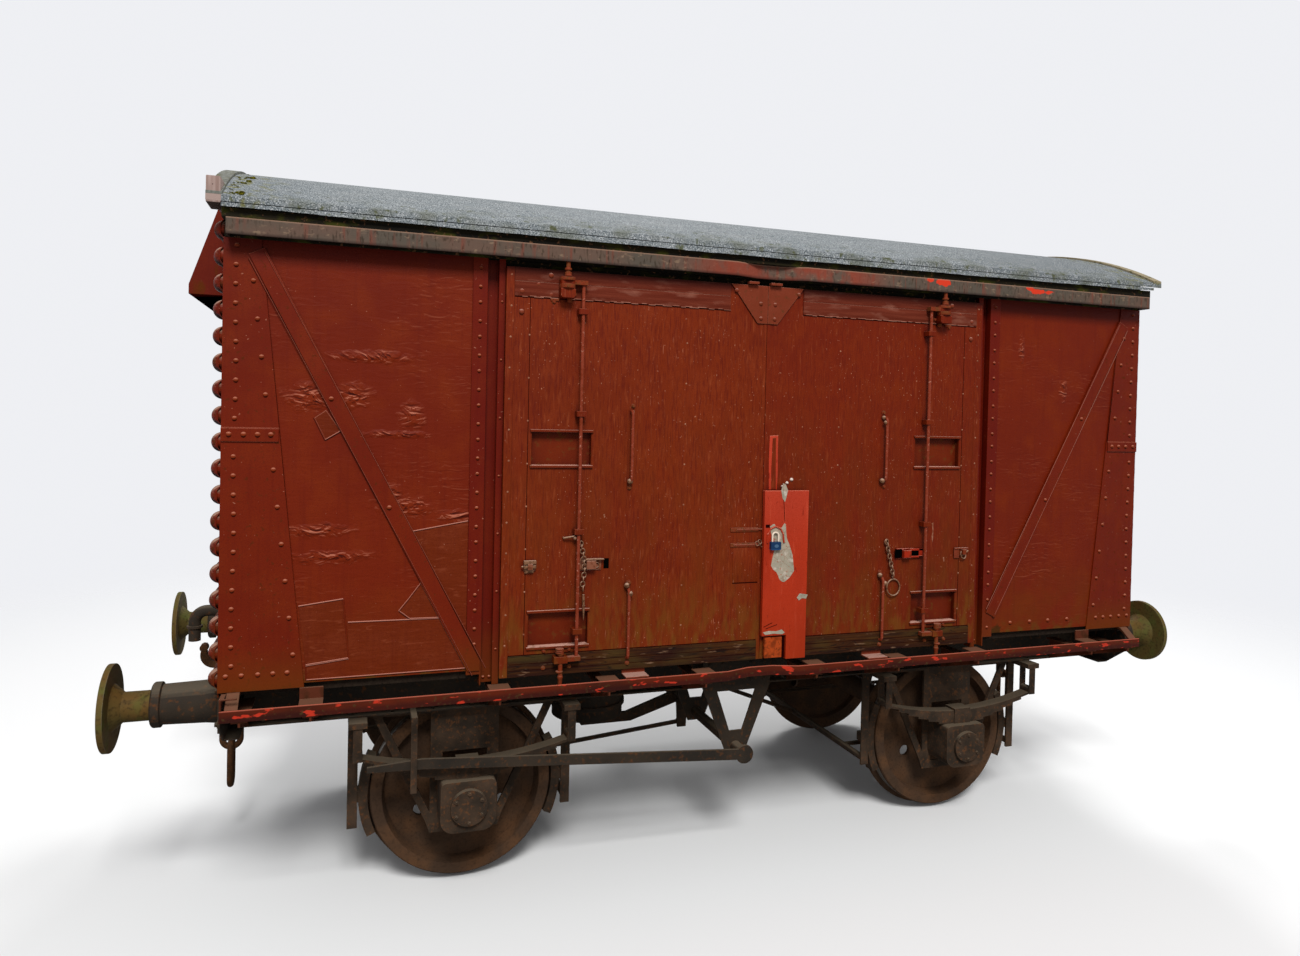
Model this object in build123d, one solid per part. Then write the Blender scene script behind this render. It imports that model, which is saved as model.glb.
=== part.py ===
from build123d import *
import os
from math import cos, radians, sin, sqrt

# A four-wheeled covered goods van with plug doors: steel underframe, corrugated steel ends,
# panelled sides, two doors a side hung between a top and a bottom rail, arched felted roof.
# Millimetres. +X runs along the van, +Y across it, +Z up. Z = 0 is at the tips of the wheel
# flanges, and the origin is under the middle of the van. The side at -Y is the one with the
# security board. "d" is how far a thing stands out of the plane of the side sheets.

# Running gear
wheelbase = 3048.0
wheel_set_in = 310.5
tread_radius = 476.25
flange_depth = 28.0
rim_width = 130.0
rim_thickness = 62.0
flange_width = 32.0
tread_fall = 3.0
web_thickness = 24.0
web_dish = 24.0
hub_radius = 118.0
hub_length = 168.0
hub_lead = 8.0
web_hole_radius = 34.0
web_hole_circle = 250.0
web_hole_count = 3
axle_radius = 76.0
wheel_seat_radius = 84.0
guard_seat_radius = 70.0
journal_radius = 60.0
journal_set_out = 31.5
journal_length = 110.0
journal_clearance = 0.1
running_gap = 8.0

# Underframe
body_length = 5334.0
body_width = 2438.0
buffer_height = 1054.0
solebar_depth = 229.0
solebar_flange = 76.0
solebar_spread = 1918.0
section_web = 10.0
headstock_depth = 254.0
headstock_width = 2388.0
headstock_rake = 150.0
headstock_rake_rise = 110.0
floor_thickness = 70.0
plank_width = 178.0
plank_groove = 4.0
longitudinal_offset = 350.0
crossbar_places = (-900.0, -300.0, 300.0, 900.0)

# Axleguards, axleboxes and springs
guard_thickness = 19.0
guard_gap = 230.0
guard_horn = 62.0
guard_half_top = 480.0
guard_drop = 200.0
guard_slot_head = 90.0
guard_window_drop = 90.0
box_half_width = 140.0
box_half_height = 130.0
box_depth = 192.0
box_cover_radius = 92.0
box_cover_depth = 24.0
leaf_thickness = 13.0
leaf_width = 76.0
spring_half_length = 535.0
spring_camber = 75.0
leaf_count = 6
leaf_step = 75.0
eye_radius = 24.0
buckle_half = 58.0
hanger_plate = 8.0
hanger_half = 22.0
hanger_block = 30.0

# Brake gear
shoe_gap = 8.0
shoe_thickness = 46.0
shoe_half_angle = 24.0
shoe_width = 80.0
hanger_offset = 560.0
hanger_bar = 16.0
beam_radius = 20.0
beam_drop = 120.0
pull_rod_radius = 14.0
pull_rod_spread = 560.0
brake_shaft_radius = 32.0
brake_shaft_height = 620.0
brake_arm_spread = 92.0
brake_arm = 150.0
v_hanger_thickness = 12.0
v_hanger_half_top = 210.0
v_hanger_half_foot = 52.0
v_hanger_window_half = 120.0
v_hanger_window_foot = 40.0
v_hanger_band = 24.0
v_hanger_sole = 92.0
cylinder_radius = 230.0
cylinder_place = -625.0
cylinder_top = 925.0
cylinder_bottom = 560.0
cylinder_neck = 26.0
lever_thickness = 16.0
lever_reach = 2020.0
lever_rise = 140.0
lever_half = 30.0
lever_grip_length = 260.0
lever_guide_place = 1800.0

# Buffers, hooks, couplings and brake pipe
buffer_spread = 1727.0
buffer_length = 521.0
buffer_head_radius = 203.0
buffer_head_thickness = 26.0
buffer_crown = 12.0
buffer_shank_radius = 70.0
buffer_barrel_radius = 104.0
buffer_barrel_length = 320.0
buffer_foot_width = 320.0
buffer_foot_height = 224.0
buffer_foot_thickness = 22.0
hook_thickness = 50.0
hook_plate = 12.0
hook_plate_half_width = 150.0
hook_plate_half_height = 95.0
hook_reach = 78.0
hook_shank_reach = 150.0
hook_shank_low = 42.0
hook_shank_high = 34.0
hook_bowl_place = 168.0
hook_bowl_rise = 6.0
hook_bowl_radius = 76.0
hook_gorge_place = 176.0
hook_gorge_rise = 30.0
hook_gorge_radius = 36.0
hook_nose_radius = 22.0
hook_nose_rise = 16.0
hook_nose_bite = 8.0
link_bar_radius = 17.0
link_half_width = 48.0
link_length = 250.0
seat_gap = 0.3
pipe_radius = 30.0
pipe_offset = 290.0
pipe_height = 900.0
pipe_rise = 1400.0
pipe_stand_off = 78.0
pipe_reach = 155.0
pipe_mouth = 160.0
pipe_horn = 70.0
pipe_horn_rim = 12.0
pipe_crossing = 1900.0

# Ends and ventilators
corrugation_pitch = 119.0
corrugation_depth = 36.0
corrugation_valley = 34.0
corrugation_crest = 43.0
corrugation_round = 11.0
end_sheet = 5.0
hood_half_width = 480.0
hood_head_rise = 430.0
hood_lip_top = 1915.0
hood_bottom = 1865.0
hood_crown = 34.0
hood_reach = 219.0
hood_sheet = 4.0

# Sides: heights are above the bottom edge of the side sheets
sheet_lap = 21.5
side_height = 2040.0
panel_thickness = 25.0
sheet_thickness = 7.0
plywood_lift = 20.0
corner_top_width = 157.0
corner_foot_width = 363.0
corner_cut_drop = 18.0
corner_return = 14.0
joint_plate_length = 239.0
joint_plate_bottom = 1130.0
joint_plate_top = 1192.0
pillar_outer = 1505.0
door_half_opening = 1412.0
pillar_strip = 65.0
pillar_depth = 48.0
pillar_drop = 54.0
pillar_flange = 32.0
brace_width = 75.0
brace_proud = 8.0
patch_thickness = 2.5

# Each brace: how far its top is in from the corner and down from the top of the side, how far its
# foot is beyond the pillar, and its height there. The left and the right one were set differently.
left_brace = (136.0, 52.0, 4.0, -4.0)
right_brace = (137.0, 100.0, 48.0, 133.0)

# Repair patches on the left panel, each a list of (x, height) corners
patches = (
    ((-2334.0, 375.0), (-2141.0, 400.0), (-2113.0, 122.0), (-2299.0, 102.0)),
    ((-2118.0, 289.0), (-1680.0, 286.0), (-1572.0, 35.0), (-2297.0, 32.0), (-2298.0, 97.0), (-2113.0, 118.0)),
    ((-1889.0, 331.0), (-1848.0, 382.0), (-1789.0, 461.0), (-1700.0, 290.0), (-1839.0, 292.0)),
    ((-1850.0, 707.0), (-1572.0, 755.0), (-1572.0, 192.0), (-1600.0, 192.0)),
    ((-2280.0, 1243.0), (-2229.0, 1281.0), (-2162.0, 1185.0), (-2231.0, 1142.0)),
)

# The timber over the sides
cantrail_proud = 6.0
cantrail_depth = 75.0
lintel_thickness = 22.0
lintel_lap = 18.0

# Doors
door_head_gap = 37.0
door_bottom = -20.0
door_proud = 25.0
door_thickness = 52.0
door_frame = 40.0
door_frame_proud = 3.0
top_board_height = 68.0
bottom_board_height = 105.0
board_proud = 7.0
pan_width = 309.0
pan_middle = 1120.5
pan_depth = 34.0
pan_sheet = 3.0
pan_rows = ((1028.0, 171.0), (122.0, 175.0))
gusset_reach = 216.0
gusset_drop = 203.0
gusset_toe = 60.0
gusset_proud = 6.0
rod_place = 1032.0
rod_stand_off = 58.0
rod_radius = 9.0
rod_low = 76.0
rod_head_gap = 110.0
rod_bracket_heights = (200.0, 700.0, 1290.0)
rod_bracket_top = 130.0
rod_bracket_half = 14.0
crank_reach = 1116.0
crank_thickness = 22.0
crank_half = 18.0
crank_tip_half = 9.0
crank_block_half = 37.0
crank_block_depth = 84.0
crank_block_above = 14.0
crank_block_below = 24.0
crank_bearing_height = 44.0
crank_foot_half = 34.0
crank_foot_rise = 6.0
peg_radius = 11.0
peg_collar_radius = 17.0
peg_collar_length = 22.0
peg_knuckle_rise = 44.0
peg_ball_radius = 14.0
peg_ball_drop = 84.0
grip_place = 758.0
grip_rows = ((33.0, 404.0, 7.0), (940.0, 1318.0, 0.0))
grip_radius = 8.0
grip_stand_off = 54.0
grip_bend = 20.0
latch_places = (-962.0, 916.0)
latch_height = 530.0
keeper_places = (-1272.0, 1314.0)

# Door rails
rail_stand_off = 90.0
rail_sheet = 8.0
rail_setback = 19.0
upper_rail_lap = 2.0
upper_rail_height = 74.0
lower_rail_bottom = -108.0
lower_rail_top = -55.0
lower_rail_width = 52.0
jog_outer = 210.0
jog_inner = 70.0
jog_depth = 45.0
end_bracket_setback = 100.0
bracket_places = (2272.0, 1413.0, 860.0, 330.0)
bracket_plate = 10.0
bracket_toe = 26.0
bracket_half = 52.0
bracket_flange_half = 34.0
bracket_leaf = 8.0
end_strap_setback = 20.0
end_strap_width = 55.0
end_strap_thickness = 12.0
end_hoop_length = 72.0
shelf_place = 715.0
shelf_half = 62.0
shelf_thickness = 8.0

# Roof
eave_overhang = 100.0
roof_end_overhang = 60.0
roof_thickness = 24.0
roof_eave_rise = 138.0
roof_rise = 364.0
batten_width = 65.0
batten_thickness = 12.0
eave_board_width = 68.0
eave_board_thickness = 44.0

# Security board and lock on the -Y side
board_left = -2.0
board_right = 265.0
board_low = -22.0
board_high = 900.0
board_thickness = 26.0
board_notch = (147.0, 132.0)
board_shoe_length = 104.0
board_shoe_thickness = 20.0
board_shoe_gap = 10.0
hasp_heights = (688.0, 605.0)
hasp_reach = 165.0
hasp_thickness = 6.0
padlock_place = 63.0
padlock_height = 602.0
padlock_width = 60.0
padlock_half_height = 22.0
padlock_thickness = 22.0
padlock_shackle_rise = 50.0
padlock_shackle_inset = 12.0
padlock_shackle_radius = 5.0

# Places that follow from these
axle_height = tread_radius + flange_depth
journal_line = solebar_spread / 2 + journal_set_out
back_to_back = 2 * (journal_line - wheel_set_in)
half_length = body_length / 2
side_plane = body_width / 2
rail_half = half_length - rail_setback
roof_half_width = side_plane + eave_overhang
roof_half_length = half_length + roof_end_overhang
buffer_line = buffer_height + flange_depth
frame_top = buffer_line + solebar_depth / 2
frame_bottom = buffer_line - solebar_depth / 2
solebar_face = solebar_spread / 2
solebar_back = solebar_face - solebar_flange
base = frame_top + sheet_lap
door_top = side_height - door_head_gap
rod_high = side_height - rod_head_gap
upper_rail_bottom = side_height - upper_rail_lap
upper_rail_top = upper_rail_bottom + upper_rail_height
corner_cut_top = side_height - corner_cut_drop
hood_top = side_height + hood_head_rise
roof_eave = side_height + roof_eave_rise
panel_inner = side_plane - sheet_thickness - panel_thickness
crest_plane = half_length + corrugation_depth
roof_top = base + roof_eave + roof_rise
roof_edge_top = base + roof_eave + roof_thickness
roof_sagitta = roof_top - roof_edge_top
roof_radius = (roof_half_width ** 2 + roof_sagitta ** 2) / (2 * roof_sagitta)
roof_centre = roof_top - roof_radius
guard_face = solebar_back
guard_back = guard_face - guard_thickness
box_top = axle_height + box_half_height
hub_end = back_to_back / 2 - hub_lead + hub_length


def block(x, y, z):
    """A box between two values along each axis, in either order."""
    middle = [(side[0] + side[1]) / 2 for side in (x, y, z)]
    return Pos(*middle) * Box(*[abs(side[1] - side[0]) for side in (x, y, z)])


def out(d):
    """The Y of a face that stands d out of the -Y side."""
    return -(side_plane + d)


def plate_xz(points, y_from, y_to):
    """A flat plate across Y from an outline of (x, z) points."""
    face = make_face(Polyline([(x, y_from, z) for x, z in points], close=True))
    return extrude(face, amount=y_to - y_from, dir=(0, 1, 0))


def plate_xy(points, z_from, z_to):
    """A flat plate across Z from an outline of (x, y) points."""
    face = make_face(Polyline([(x, y, z_from) for x, y in points], close=True))
    return extrude(face, amount=z_to - z_from, dir=(0, 0, 1))


def plate_yz(points, x_from, x_to):
    """A flat plate across X from an outline of (y, z) points."""
    face = make_face(Polyline([(x_from, y, z) for y, z in points], close=True))
    return extrude(face, amount=x_to - x_from, dir=(1, 0, 0))


def bar(start, end, radius):
    """A round bar between two points."""
    axis = Vector(*end) - Vector(*start)
    place = Plane(origin=start, z_dir=axis)
    return place * Cylinder(radius, axis.length, align=(Align.CENTER, Align.CENTER, Align.MIN))


def bent_bar(points, bend, radius):
    """A round bar along straight runs joined by arcs."""
    path = FilletPolyline(*points, radius=bend)
    section = Plane(origin=path @ 0, z_dir=path % 0) * Circle(radius)
    return sweep(section, path=path)


def turned(shape):
    """The same piece on the other end or side, turned half round."""
    return shape.rotate(Axis.Z, 180)


def both(*shapes):
    """The pieces as they are and turned half round."""
    return list(shapes) + [turned(shape) for shape in shapes]


def mirrored_x(shape):
    return mirror(shape, about=Plane.YZ)


def four(*shapes):
    """The pieces in the four corners of the van."""
    pairs = list(shapes) + [mirrored_x(shape) for shape in shapes]
    return pairs + [mirror(shape, about=Plane.XZ) for shape in pairs]


def save(node, shapes):
    """Write one node's solids."""
    solids = [solid for shape in shapes for solid in shape.solids()]
    os.makedirs("parts", exist_ok=True)
    export_step(Compound(solids), "parts/" + node + ".step")


def under_roof(shape):
    """The part of a piece that lies below the roof sheet."""
    cylinder = Cylinder(roof_radius - roof_thickness, 4 * roof_half_length)
    return shape & (Pos(0, 0, roof_centre) * Rot(0, 90, 0) * cylinder)


def wheel(side):
    """A three-hole disc wheel with its coned tread; side is 1 or -1 along Y."""
    back = back_to_back / 2
    rim_inner = tread_radius - rim_thickness
    root = back + flange_width + 8
    tip = tread_radius + flange_depth
    low = back + 36
    points = [
        (wheel_seat_radius, back - hub_lead),
        (hub_radius, back - hub_lead),
        (hub_radius + 12, low + web_dish),
        (rim_inner - 16, low),
        (rim_inner, back),
        (tip - 14, back),
        (tip - 3, back + 6),
        (tip, back + flange_width / 2),
        (tip - 5, back + flange_width - 6),
        (tread_radius + 4, back + flange_width),
        (tread_radius, root),
        (tread_radius - tread_fall, back + rim_width - 6),
        (tread_radius - tread_fall - 6, back + rim_width),
        (rim_inner, back + rim_width),
        (rim_inner - 16, low + web_thickness),
        (hub_radius + 12, low + web_dish + web_thickness),
        (hub_radius, hub_end),
        (wheel_seat_radius, hub_end),
    ]
    face = make_face(Polyline([(r, side * y, 0) for r, y in points], close=True))
    disc = revolve(face, Axis.Y, 360)
    for turn in range(web_hole_count):
        angle = radians(90 + turn * 360 / web_hole_count)
        hole = bar(
            (web_hole_circle * cos(angle), side * back, web_hole_circle * sin(angle)),
            (web_hole_circle * cos(angle), side * (back + rim_width), web_hole_circle * sin(angle)),
            web_hole_radius,
        )
        disc = disc - hole
    return disc


def axle():
    """A turned axle: body, wheel seats, dust guard seats and journals."""
    seat_from = back_to_back / 2 - hub_lead - 6
    seat_to = hub_end + 2
    guard_to = guard_back - running_gap
    journal_to = journal_line + journal_length / 2
    half = [
        (axle_radius, seat_from),
        (wheel_seat_radius, seat_from + 4),
        (wheel_seat_radius, seat_to),
        (guard_seat_radius, seat_to),
        (guard_seat_radius, guard_to),
        (journal_radius, guard_to),
        (journal_radius, journal_to),
    ]
    outline = [(0, -journal_to)] + [(r, -y) for r, y in reversed(half)] + half + [(0, journal_to)]
    face = make_face(Polyline([(r, y, 0) for r, y in outline], close=True))
    return revolve(face, Axis.Y, 360)


def channel_along_x(x, web_y, flange_y, z_low, z_high):
    """A channel along X: its web from web_y, its flanges reaching flange_y."""
    inward = 1 if flange_y > web_y else -1
    web = block(x, (web_y, web_y + inward * section_web), (z_low, z_high))
    low = block(x, (web_y, flange_y), (z_low, z_low + section_web))
    high = block(x, (web_y, flange_y), (z_high - section_web, z_high))
    return web + low + high


def channel_along_y(web_x, flange_x, y, z_low, z_high):
    """A channel along Y: its web from web_x, its flanges reaching flange_x."""
    inward = 1 if flange_x > web_x else -1
    web = block((web_x, web_x + inward * section_web), y, (z_low, z_high))
    low = block((web_x, flange_x), y, (z_low, z_low + section_web))
    high = block((web_x, flange_x), y, (z_high - section_web, z_high))
    return web + low + high


def headstock():
    """The end beam: a channel open inwards, its lower corners raked up."""
    half = headstock_width / 2
    low = frame_top - headstock_depth
    beam = channel_along_y(half_length, half_length - solebar_flange, (-half, half), low, frame_top)
    for side in (-1, 1):
        corner = plate_yz(
            [
                (side * (half + 1), low - 1),
                (side * (half - headstock_rake), low - 1),
                (side * (half + 1), low + headstock_rake_rise),
            ],
            half_length - 2 * solebar_flange,
            half_length + 1,
        )
        beam = beam - corner
    return beam


def underframe():
    """Solebars, headstocks, and the longitudinals and crossbars between them."""
    inner_x = half_length - solebar_flange
    solebar = channel_along_x((-inner_x, inner_x), solebar_back, solebar_face, frame_bottom, frame_top)
    save("solebars", both(solebar))
    save("headstocks", both(headstock()))
    crossbars = []
    for place in crossbar_places:
        toward = place - solebar_flange if place > 0 else place + solebar_flange
        crossbars.append(
            channel_along_y(place, toward, (-solebar_back, solebar_back), frame_bottom, frame_top)
        )
    save("underframe_crossbars", crossbars)
    stops = [-inner_x]
    for place in crossbar_places:
        stops += [place, place + solebar_flange] if place < 0 else [place - solebar_flange, place]
    stops.append(inner_x)
    rails = []
    for start, stop in zip(stops[0::2], stops[1::2]):
        for side in (-1, 1):
            near = side * longitudinal_offset
            far = side * (longitudinal_offset - solebar_flange)
            rails.append(channel_along_x((start, stop), near, far, frame_bottom, frame_top))
    save("underframe_longitudinals", rails)


def floor():
    """Planks laid across the van, with an open joint below each pair."""
    half_x = half_length - end_sheet
    deck = block((-half_x, half_x), (-panel_inner, panel_inner), (frame_top, frame_top + floor_thickness))
    count = int(half_x / plank_width)
    for step in range(-count, count + 1):
        x = step * plank_width
        groove = block(
            (x - plank_groove / 2, x + plank_groove / 2),
            (-side_plane, side_plane),
            (frame_top - 1, frame_top + 6),
        )
        deck = deck - groove
    pocket = block(
        (door_half_opening, pillar_outer),
        (out(-pillar_depth - sheet_thickness), out(0)),
        (frame_top - 1, frame_top + floor_thickness + 1),
    )
    for notch in four(pocket):
        deck = deck - notch
    save("floor_planks", [deck])


def axleguard():
    """The W-shaped plate that guides one axlebox, at the +X +Y corner."""
    x = wheelbase / 2
    foot = axle_height - guard_drop
    top = frame_top - 50
    slot = guard_gap / 2
    horn = slot + guard_horn
    plate = plate_xz(
        [
            (x - guard_half_top, top),
            (x + guard_half_top, top),
            (x + guard_half_top, frame_bottom),
            (x + horn + 20, foot + 60),
            (x + horn, foot),
            (x - horn, foot),
            (x - horn - 20, foot + 60),
            (x - guard_half_top, frame_bottom),
        ],
        guard_back,
        guard_face,
    )
    slot_top = box_top + guard_slot_head
    plate = plate - block((x - slot, x + slot), (0, guard_face + 1), (foot + 46, slot_top))
    for side in (-1, 1):
        near = x + side * horn
        window = plate_xz(
            [
                (near, axle_height - guard_window_drop),
                (near, frame_bottom - 34),
                (x + side * (guard_half_top - 60), frame_bottom - 34),
            ],
            guard_back - 1,
            guard_face + 1,
        )
        plate = plate - window
    return plate


def axlebox():
    """A roller-bearing box: a rounded body outside the guard and a tongue in its slot."""
    x = wheelbase / 2
    front = guard_face + box_depth
    body = block(
        (x - box_half_width, x + box_half_width),
        (guard_face, front),
        (axle_height - box_half_height, box_top),
    )
    body = fillet(body.edges().filter_by(Axis.Y).group_by(Axis.Z)[0], 70)
    body = fillet(body.edges().filter_by(Axis.Y).group_by(Axis.Z)[-1], 30)
    tongue = block(
        (x - guard_gap / 2, x + guard_gap / 2),
        (guard_back - running_gap + 2, guard_face),
        (axle_height - box_half_height + 20, box_top - 10),
    )
    cover = bar((x, front, axle_height), (x, front + box_cover_depth, axle_height), box_cover_radius)
    bore = bar(
        (x, 0, axle_height),
        (x, journal_line + journal_length / 2 + running_gap, axle_height),
        journal_radius + journal_clearance,
    )
    return body + tongue + cover - bore


def leaf_spring():
    """A stack of leaves bowed up at the ends, with rolled eyes and a buckle, on one axlebox."""
    x = wheelbase / 2
    radius = (spring_half_length ** 2 + spring_camber ** 2) / (2 * spring_camber)
    stack_top = box_top + leaf_count * leaf_thickness
    centre_z = stack_top + radius
    width = (journal_line - leaf_width / 2, journal_line + leaf_width / 2)
    spring = None
    for leaf in range(leaf_count):
        inner = radius + leaf * leaf_thickness
        reach = spring_half_length - leaf * leaf_step
        angle = reach / radius
        corners = []
        for r in (inner, inner + leaf_thickness):
            corners.append(
                [(x + r * sin(a), width[0], centre_z - r * cos(a)) for a in (-angle, 0, angle)]
            )
        near, far = corners
        outline = [
            ThreePointArc(*near),
            Line(near[2], far[2]),
            ThreePointArc(*reversed(far)),
            Line(far[0], near[0]),
        ]
        piece = extrude(make_face(outline), amount=leaf_width, dir=(0, 1, 0))
        spring = piece if spring is None else spring + piece
    for side in (-1, 1):
        eye = spring_eye(side)
        spring = spring + bar((eye[0], width[0], eye[1]), (eye[0], width[1], eye[1]), eye_radius)
    buckle = block(
        (x - buckle_half, x + buckle_half),
        (width[0] - 8, width[1] + 8),
        (box_top, stack_top + 14),
    )
    return spring + buckle


def spring_eye(side):
    """Where the eye at one end of the spring is, as (x, z)."""
    rise = leaf_count * leaf_thickness + spring_camber
    return wheelbase / 2 + side * (spring_half_length + 4), box_top + rise + 6


def spring_hangers():
    """The bracket below the solebar and the two link plates that hold each spring eye."""
    pieces = []
    for side in (-1, 1):
        x, z = spring_eye(side)
        across = (x - hanger_half, x + hanger_half)
        low = frame_bottom - hanger_block
        half = leaf_width / 2
        bracket = block(
            (x - 2 * hanger_half, x + 2 * hanger_half),
            (solebar_back + section_web, journal_line + half + 2 * hanger_plate),
            (low, frame_bottom),
        )
        for y in (journal_line - half - hanger_plate, journal_line + half):
            link = block(across, (y, y + hanger_plate), (z - eye_radius, low))
            bracket = bracket + link
        pieces.append(bracket)
    return pieces


def suspension():
    save("axleguards", four(axleguard()))
    save("axleboxes", four(axlebox()))
    save("leaf_springs", four(leaf_spring()))
    save("spring_hangers", four(*spring_hangers()))


def wheelsets():
    """The two wheelsets: an axle with its two wheels, on each axle line."""
    for name, side in (("a", 1), ("b", -1)):
        place = Pos(side * wheelbase / 2, 0, axle_height)
        save("axle_" + name, [place * axle()])
        save("wheels_" + name, [place * wheel(1), place * wheel(-1)])


def brake_shoe(side):
    """One brake block with the lug behind it; side is 1 beyond the axle, -1 before it."""
    x = wheelbase / 2
    y = (back_to_back / 2 + flange_width + 12, back_to_back / 2 + flange_width + 12 + shoe_width)
    inner = tread_radius + shoe_gap
    outer = inner + shoe_thickness
    points = []
    for r in (inner, outer):
        turns = [radians(a) for a in (-shoe_half_angle, 0, shoe_half_angle)]
        points.append([(x + side * r * cos(a), y[0], axle_height + r * sin(a)) for a in turns])
    near, far = points
    outline = [
        ThreePointArc(*near),
        Line(near[2], far[2]),
        ThreePointArc(*reversed(far)),
        Line(far[0], near[0]),
    ]
    shoe = extrude(make_face(outline), amount=shoe_width, dir=(0, 1, 0))
    lug = block(
        (x + side * (outer - 12), x + side * hanger_offset),
        y,
        (axle_height - 28, axle_height + 28),
    )
    return shoe + lug


def brake_gear():
    """Blocks, hangers, beams and rods of the clasp brake, with its cross shaft and levers."""
    x = wheelbase / 2
    shoe_side = back_to_back / 2 + flange_width + 12 + shoe_width
    beam_z = axle_height - beam_drop
    bracket_z = frame_bottom + 20
    save("brake_shoes", four(brake_shoe(1), brake_shoe(-1)))
    hangers = []
    for side in (-1, 1):
        at = x + side * hanger_offset
        hanger = block((at - 25, at + 25), (shoe_side, shoe_side + hanger_bar), (beam_z - 36, bracket_z + 50))
        arm = block((at - 32, at + 32), (shoe_side + hanger_bar, solebar_back), (bracket_z, bracket_z + 60))
        hangers.append(hanger + arm)
    save("brake_hangers", four(*hangers))
    rigging = None
    for end in (-1, 1):
        inner = end * (x - hanger_offset)
        outer = end * (x + hanger_offset)
        pieces = [bar((at, -shoe_side, beam_z), (at, shoe_side, beam_z), beam_radius) for at in (inner, outer)]
        for side in (-1, 1):
            y = side * pull_rod_spread
            pieces.append(bar((inner, y, beam_z), (outer, y, beam_z), pull_rod_radius))
        arm_end = (0, end * brake_arm_spread, brake_shaft_height + end * brake_arm)
        pieces.append(bar(arm_end, (inner, end * brake_arm_spread, beam_z), pull_rod_radius))
        pieces.append(bar(
            (0, end * (brake_arm_spread - pull_rod_radius), arm_end[2]),
            (0, end * (brake_arm_spread + pull_rod_radius), arm_end[2]),
            2 * pull_rod_radius,
        ))
        for piece in pieces:
            rigging = piece if rigging is None else rigging + piece
    save("brake_rods", [rigging])
    brake_shaft_and_levers()


def brake_shaft_and_levers():
    reach = journal_line + journal_length / 2 + 40
    z = brake_shaft_height
    shaft = bar((0, -reach, z), (0, reach, z), brake_shaft_radius)
    for end in (-1, 1):
        y = end * (brake_arm_spread + pull_rod_radius)
        arm = plate_xz(
            [(-40, z), (-30, z + end * (brake_arm + 30)), (30, z + end * (brake_arm + 30)), (40, z)],
            y,
            y + end * 16,
        )
        shaft = shaft + arm
    neck_low = cylinder_bottom - cylinder_neck
    clear_x = cylinder_place + cylinder_radius + 40
    crank = plate_xz(
        [
            (20, z + 40),
            (20, z - 40),
            (clear_x + 30, neck_low - 60),
            (cylinder_place - 40, neck_low - 60),
            (cylinder_place - 40, neck_low),
            (clear_x, neck_low),
        ],
        -lever_thickness,
        lever_thickness,
    )
    shaft = shaft + crank
    save("brake_shaft", [shaft])
    hangers = []
    for y in (solebar_face, longitudinal_offset):
        top = frame_top - 20 if y == solebar_face else frame_top - section_web - 10
        vee = plate_xz(
            [
                (-v_hanger_half_top, top),
                (v_hanger_half_top, top),
                (v_hanger_half_top, frame_bottom),
                (v_hanger_half_foot, z - v_hanger_half_foot),
                (-v_hanger_half_foot, z - v_hanger_half_foot),
                (-v_hanger_half_top, frame_bottom),
            ],
            y,
            y + v_hanger_thickness,
        )
        window = plate_xz(
            [
                (-v_hanger_window_half, frame_bottom - v_hanger_band),
                (v_hanger_window_half, frame_bottom - v_hanger_band),
                (v_hanger_window_foot, z + v_hanger_sole),
                (-v_hanger_window_foot, z + v_hanger_sole),
            ],
            y - 1,
            y + v_hanger_thickness + 1,
        )
        bore = bar((0, y - 1, z), (0, y + v_hanger_thickness + 1, z), brake_shaft_radius)
        hangers.append(vee - window - bore)
    save("brake_v_hangers", both(*hangers))
    levers = lever_outline(reach)
    save("handbrake_levers", both(levers))
    guide = block(
        (lever_guide_place - 15, lever_guide_place + 15),
        (solebar_face, reach + lever_thickness + 16),
        (frame_bottom, frame_bottom + 30),
    )
    strap = block(
        (lever_guide_place - 15, lever_guide_place + 15),
        (reach + lever_thickness, reach + lever_thickness + 16),
        (brake_shaft_height, frame_bottom + 30),
    )
    save("handbrake_guides", both(guide + strap))
    body = bar((cylinder_place, 0, cylinder_bottom), (cylinder_place, 0, cylinder_top), cylinder_radius)
    neck = bar((cylinder_place, 0, neck_low), (cylinder_place, 0, cylinder_bottom), 90)
    rim_z = cylinder_bottom + 70
    rim = bar((cylinder_place, 0, rim_z), (cylinder_place, 0, rim_z + 24), cylinder_radius + 14)
    left, right = crossbar_places[0], crossbar_places[1]
    strap = block((left, right), (-50, 50), (cylinder_top, frame_bottom))
    save("vacuum_cylinder", [body + neck + rim + strap])


def lever_outline(reach):
    """One long hand lever: a hub on the shaft's end, a rising bar and a straight grip."""
    z = brake_shaft_height
    knee = lever_reach - lever_grip_length
    bar_plate = plate_xz(
        [
            (0, z - lever_half),
            (knee, z + lever_rise - lever_half),
            (lever_reach, z + lever_rise - lever_half + 8),
            (lever_reach, z + lever_rise + lever_half - 24),
            (knee, z + lever_rise + lever_half - 8),
            (0, z + lever_half),
        ],
        reach,
        reach + lever_thickness,
    )
    hub = bar((0, reach, z), (0, reach + lever_thickness, z), brake_shaft_radius + 20)
    return bar_plate + hub


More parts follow.
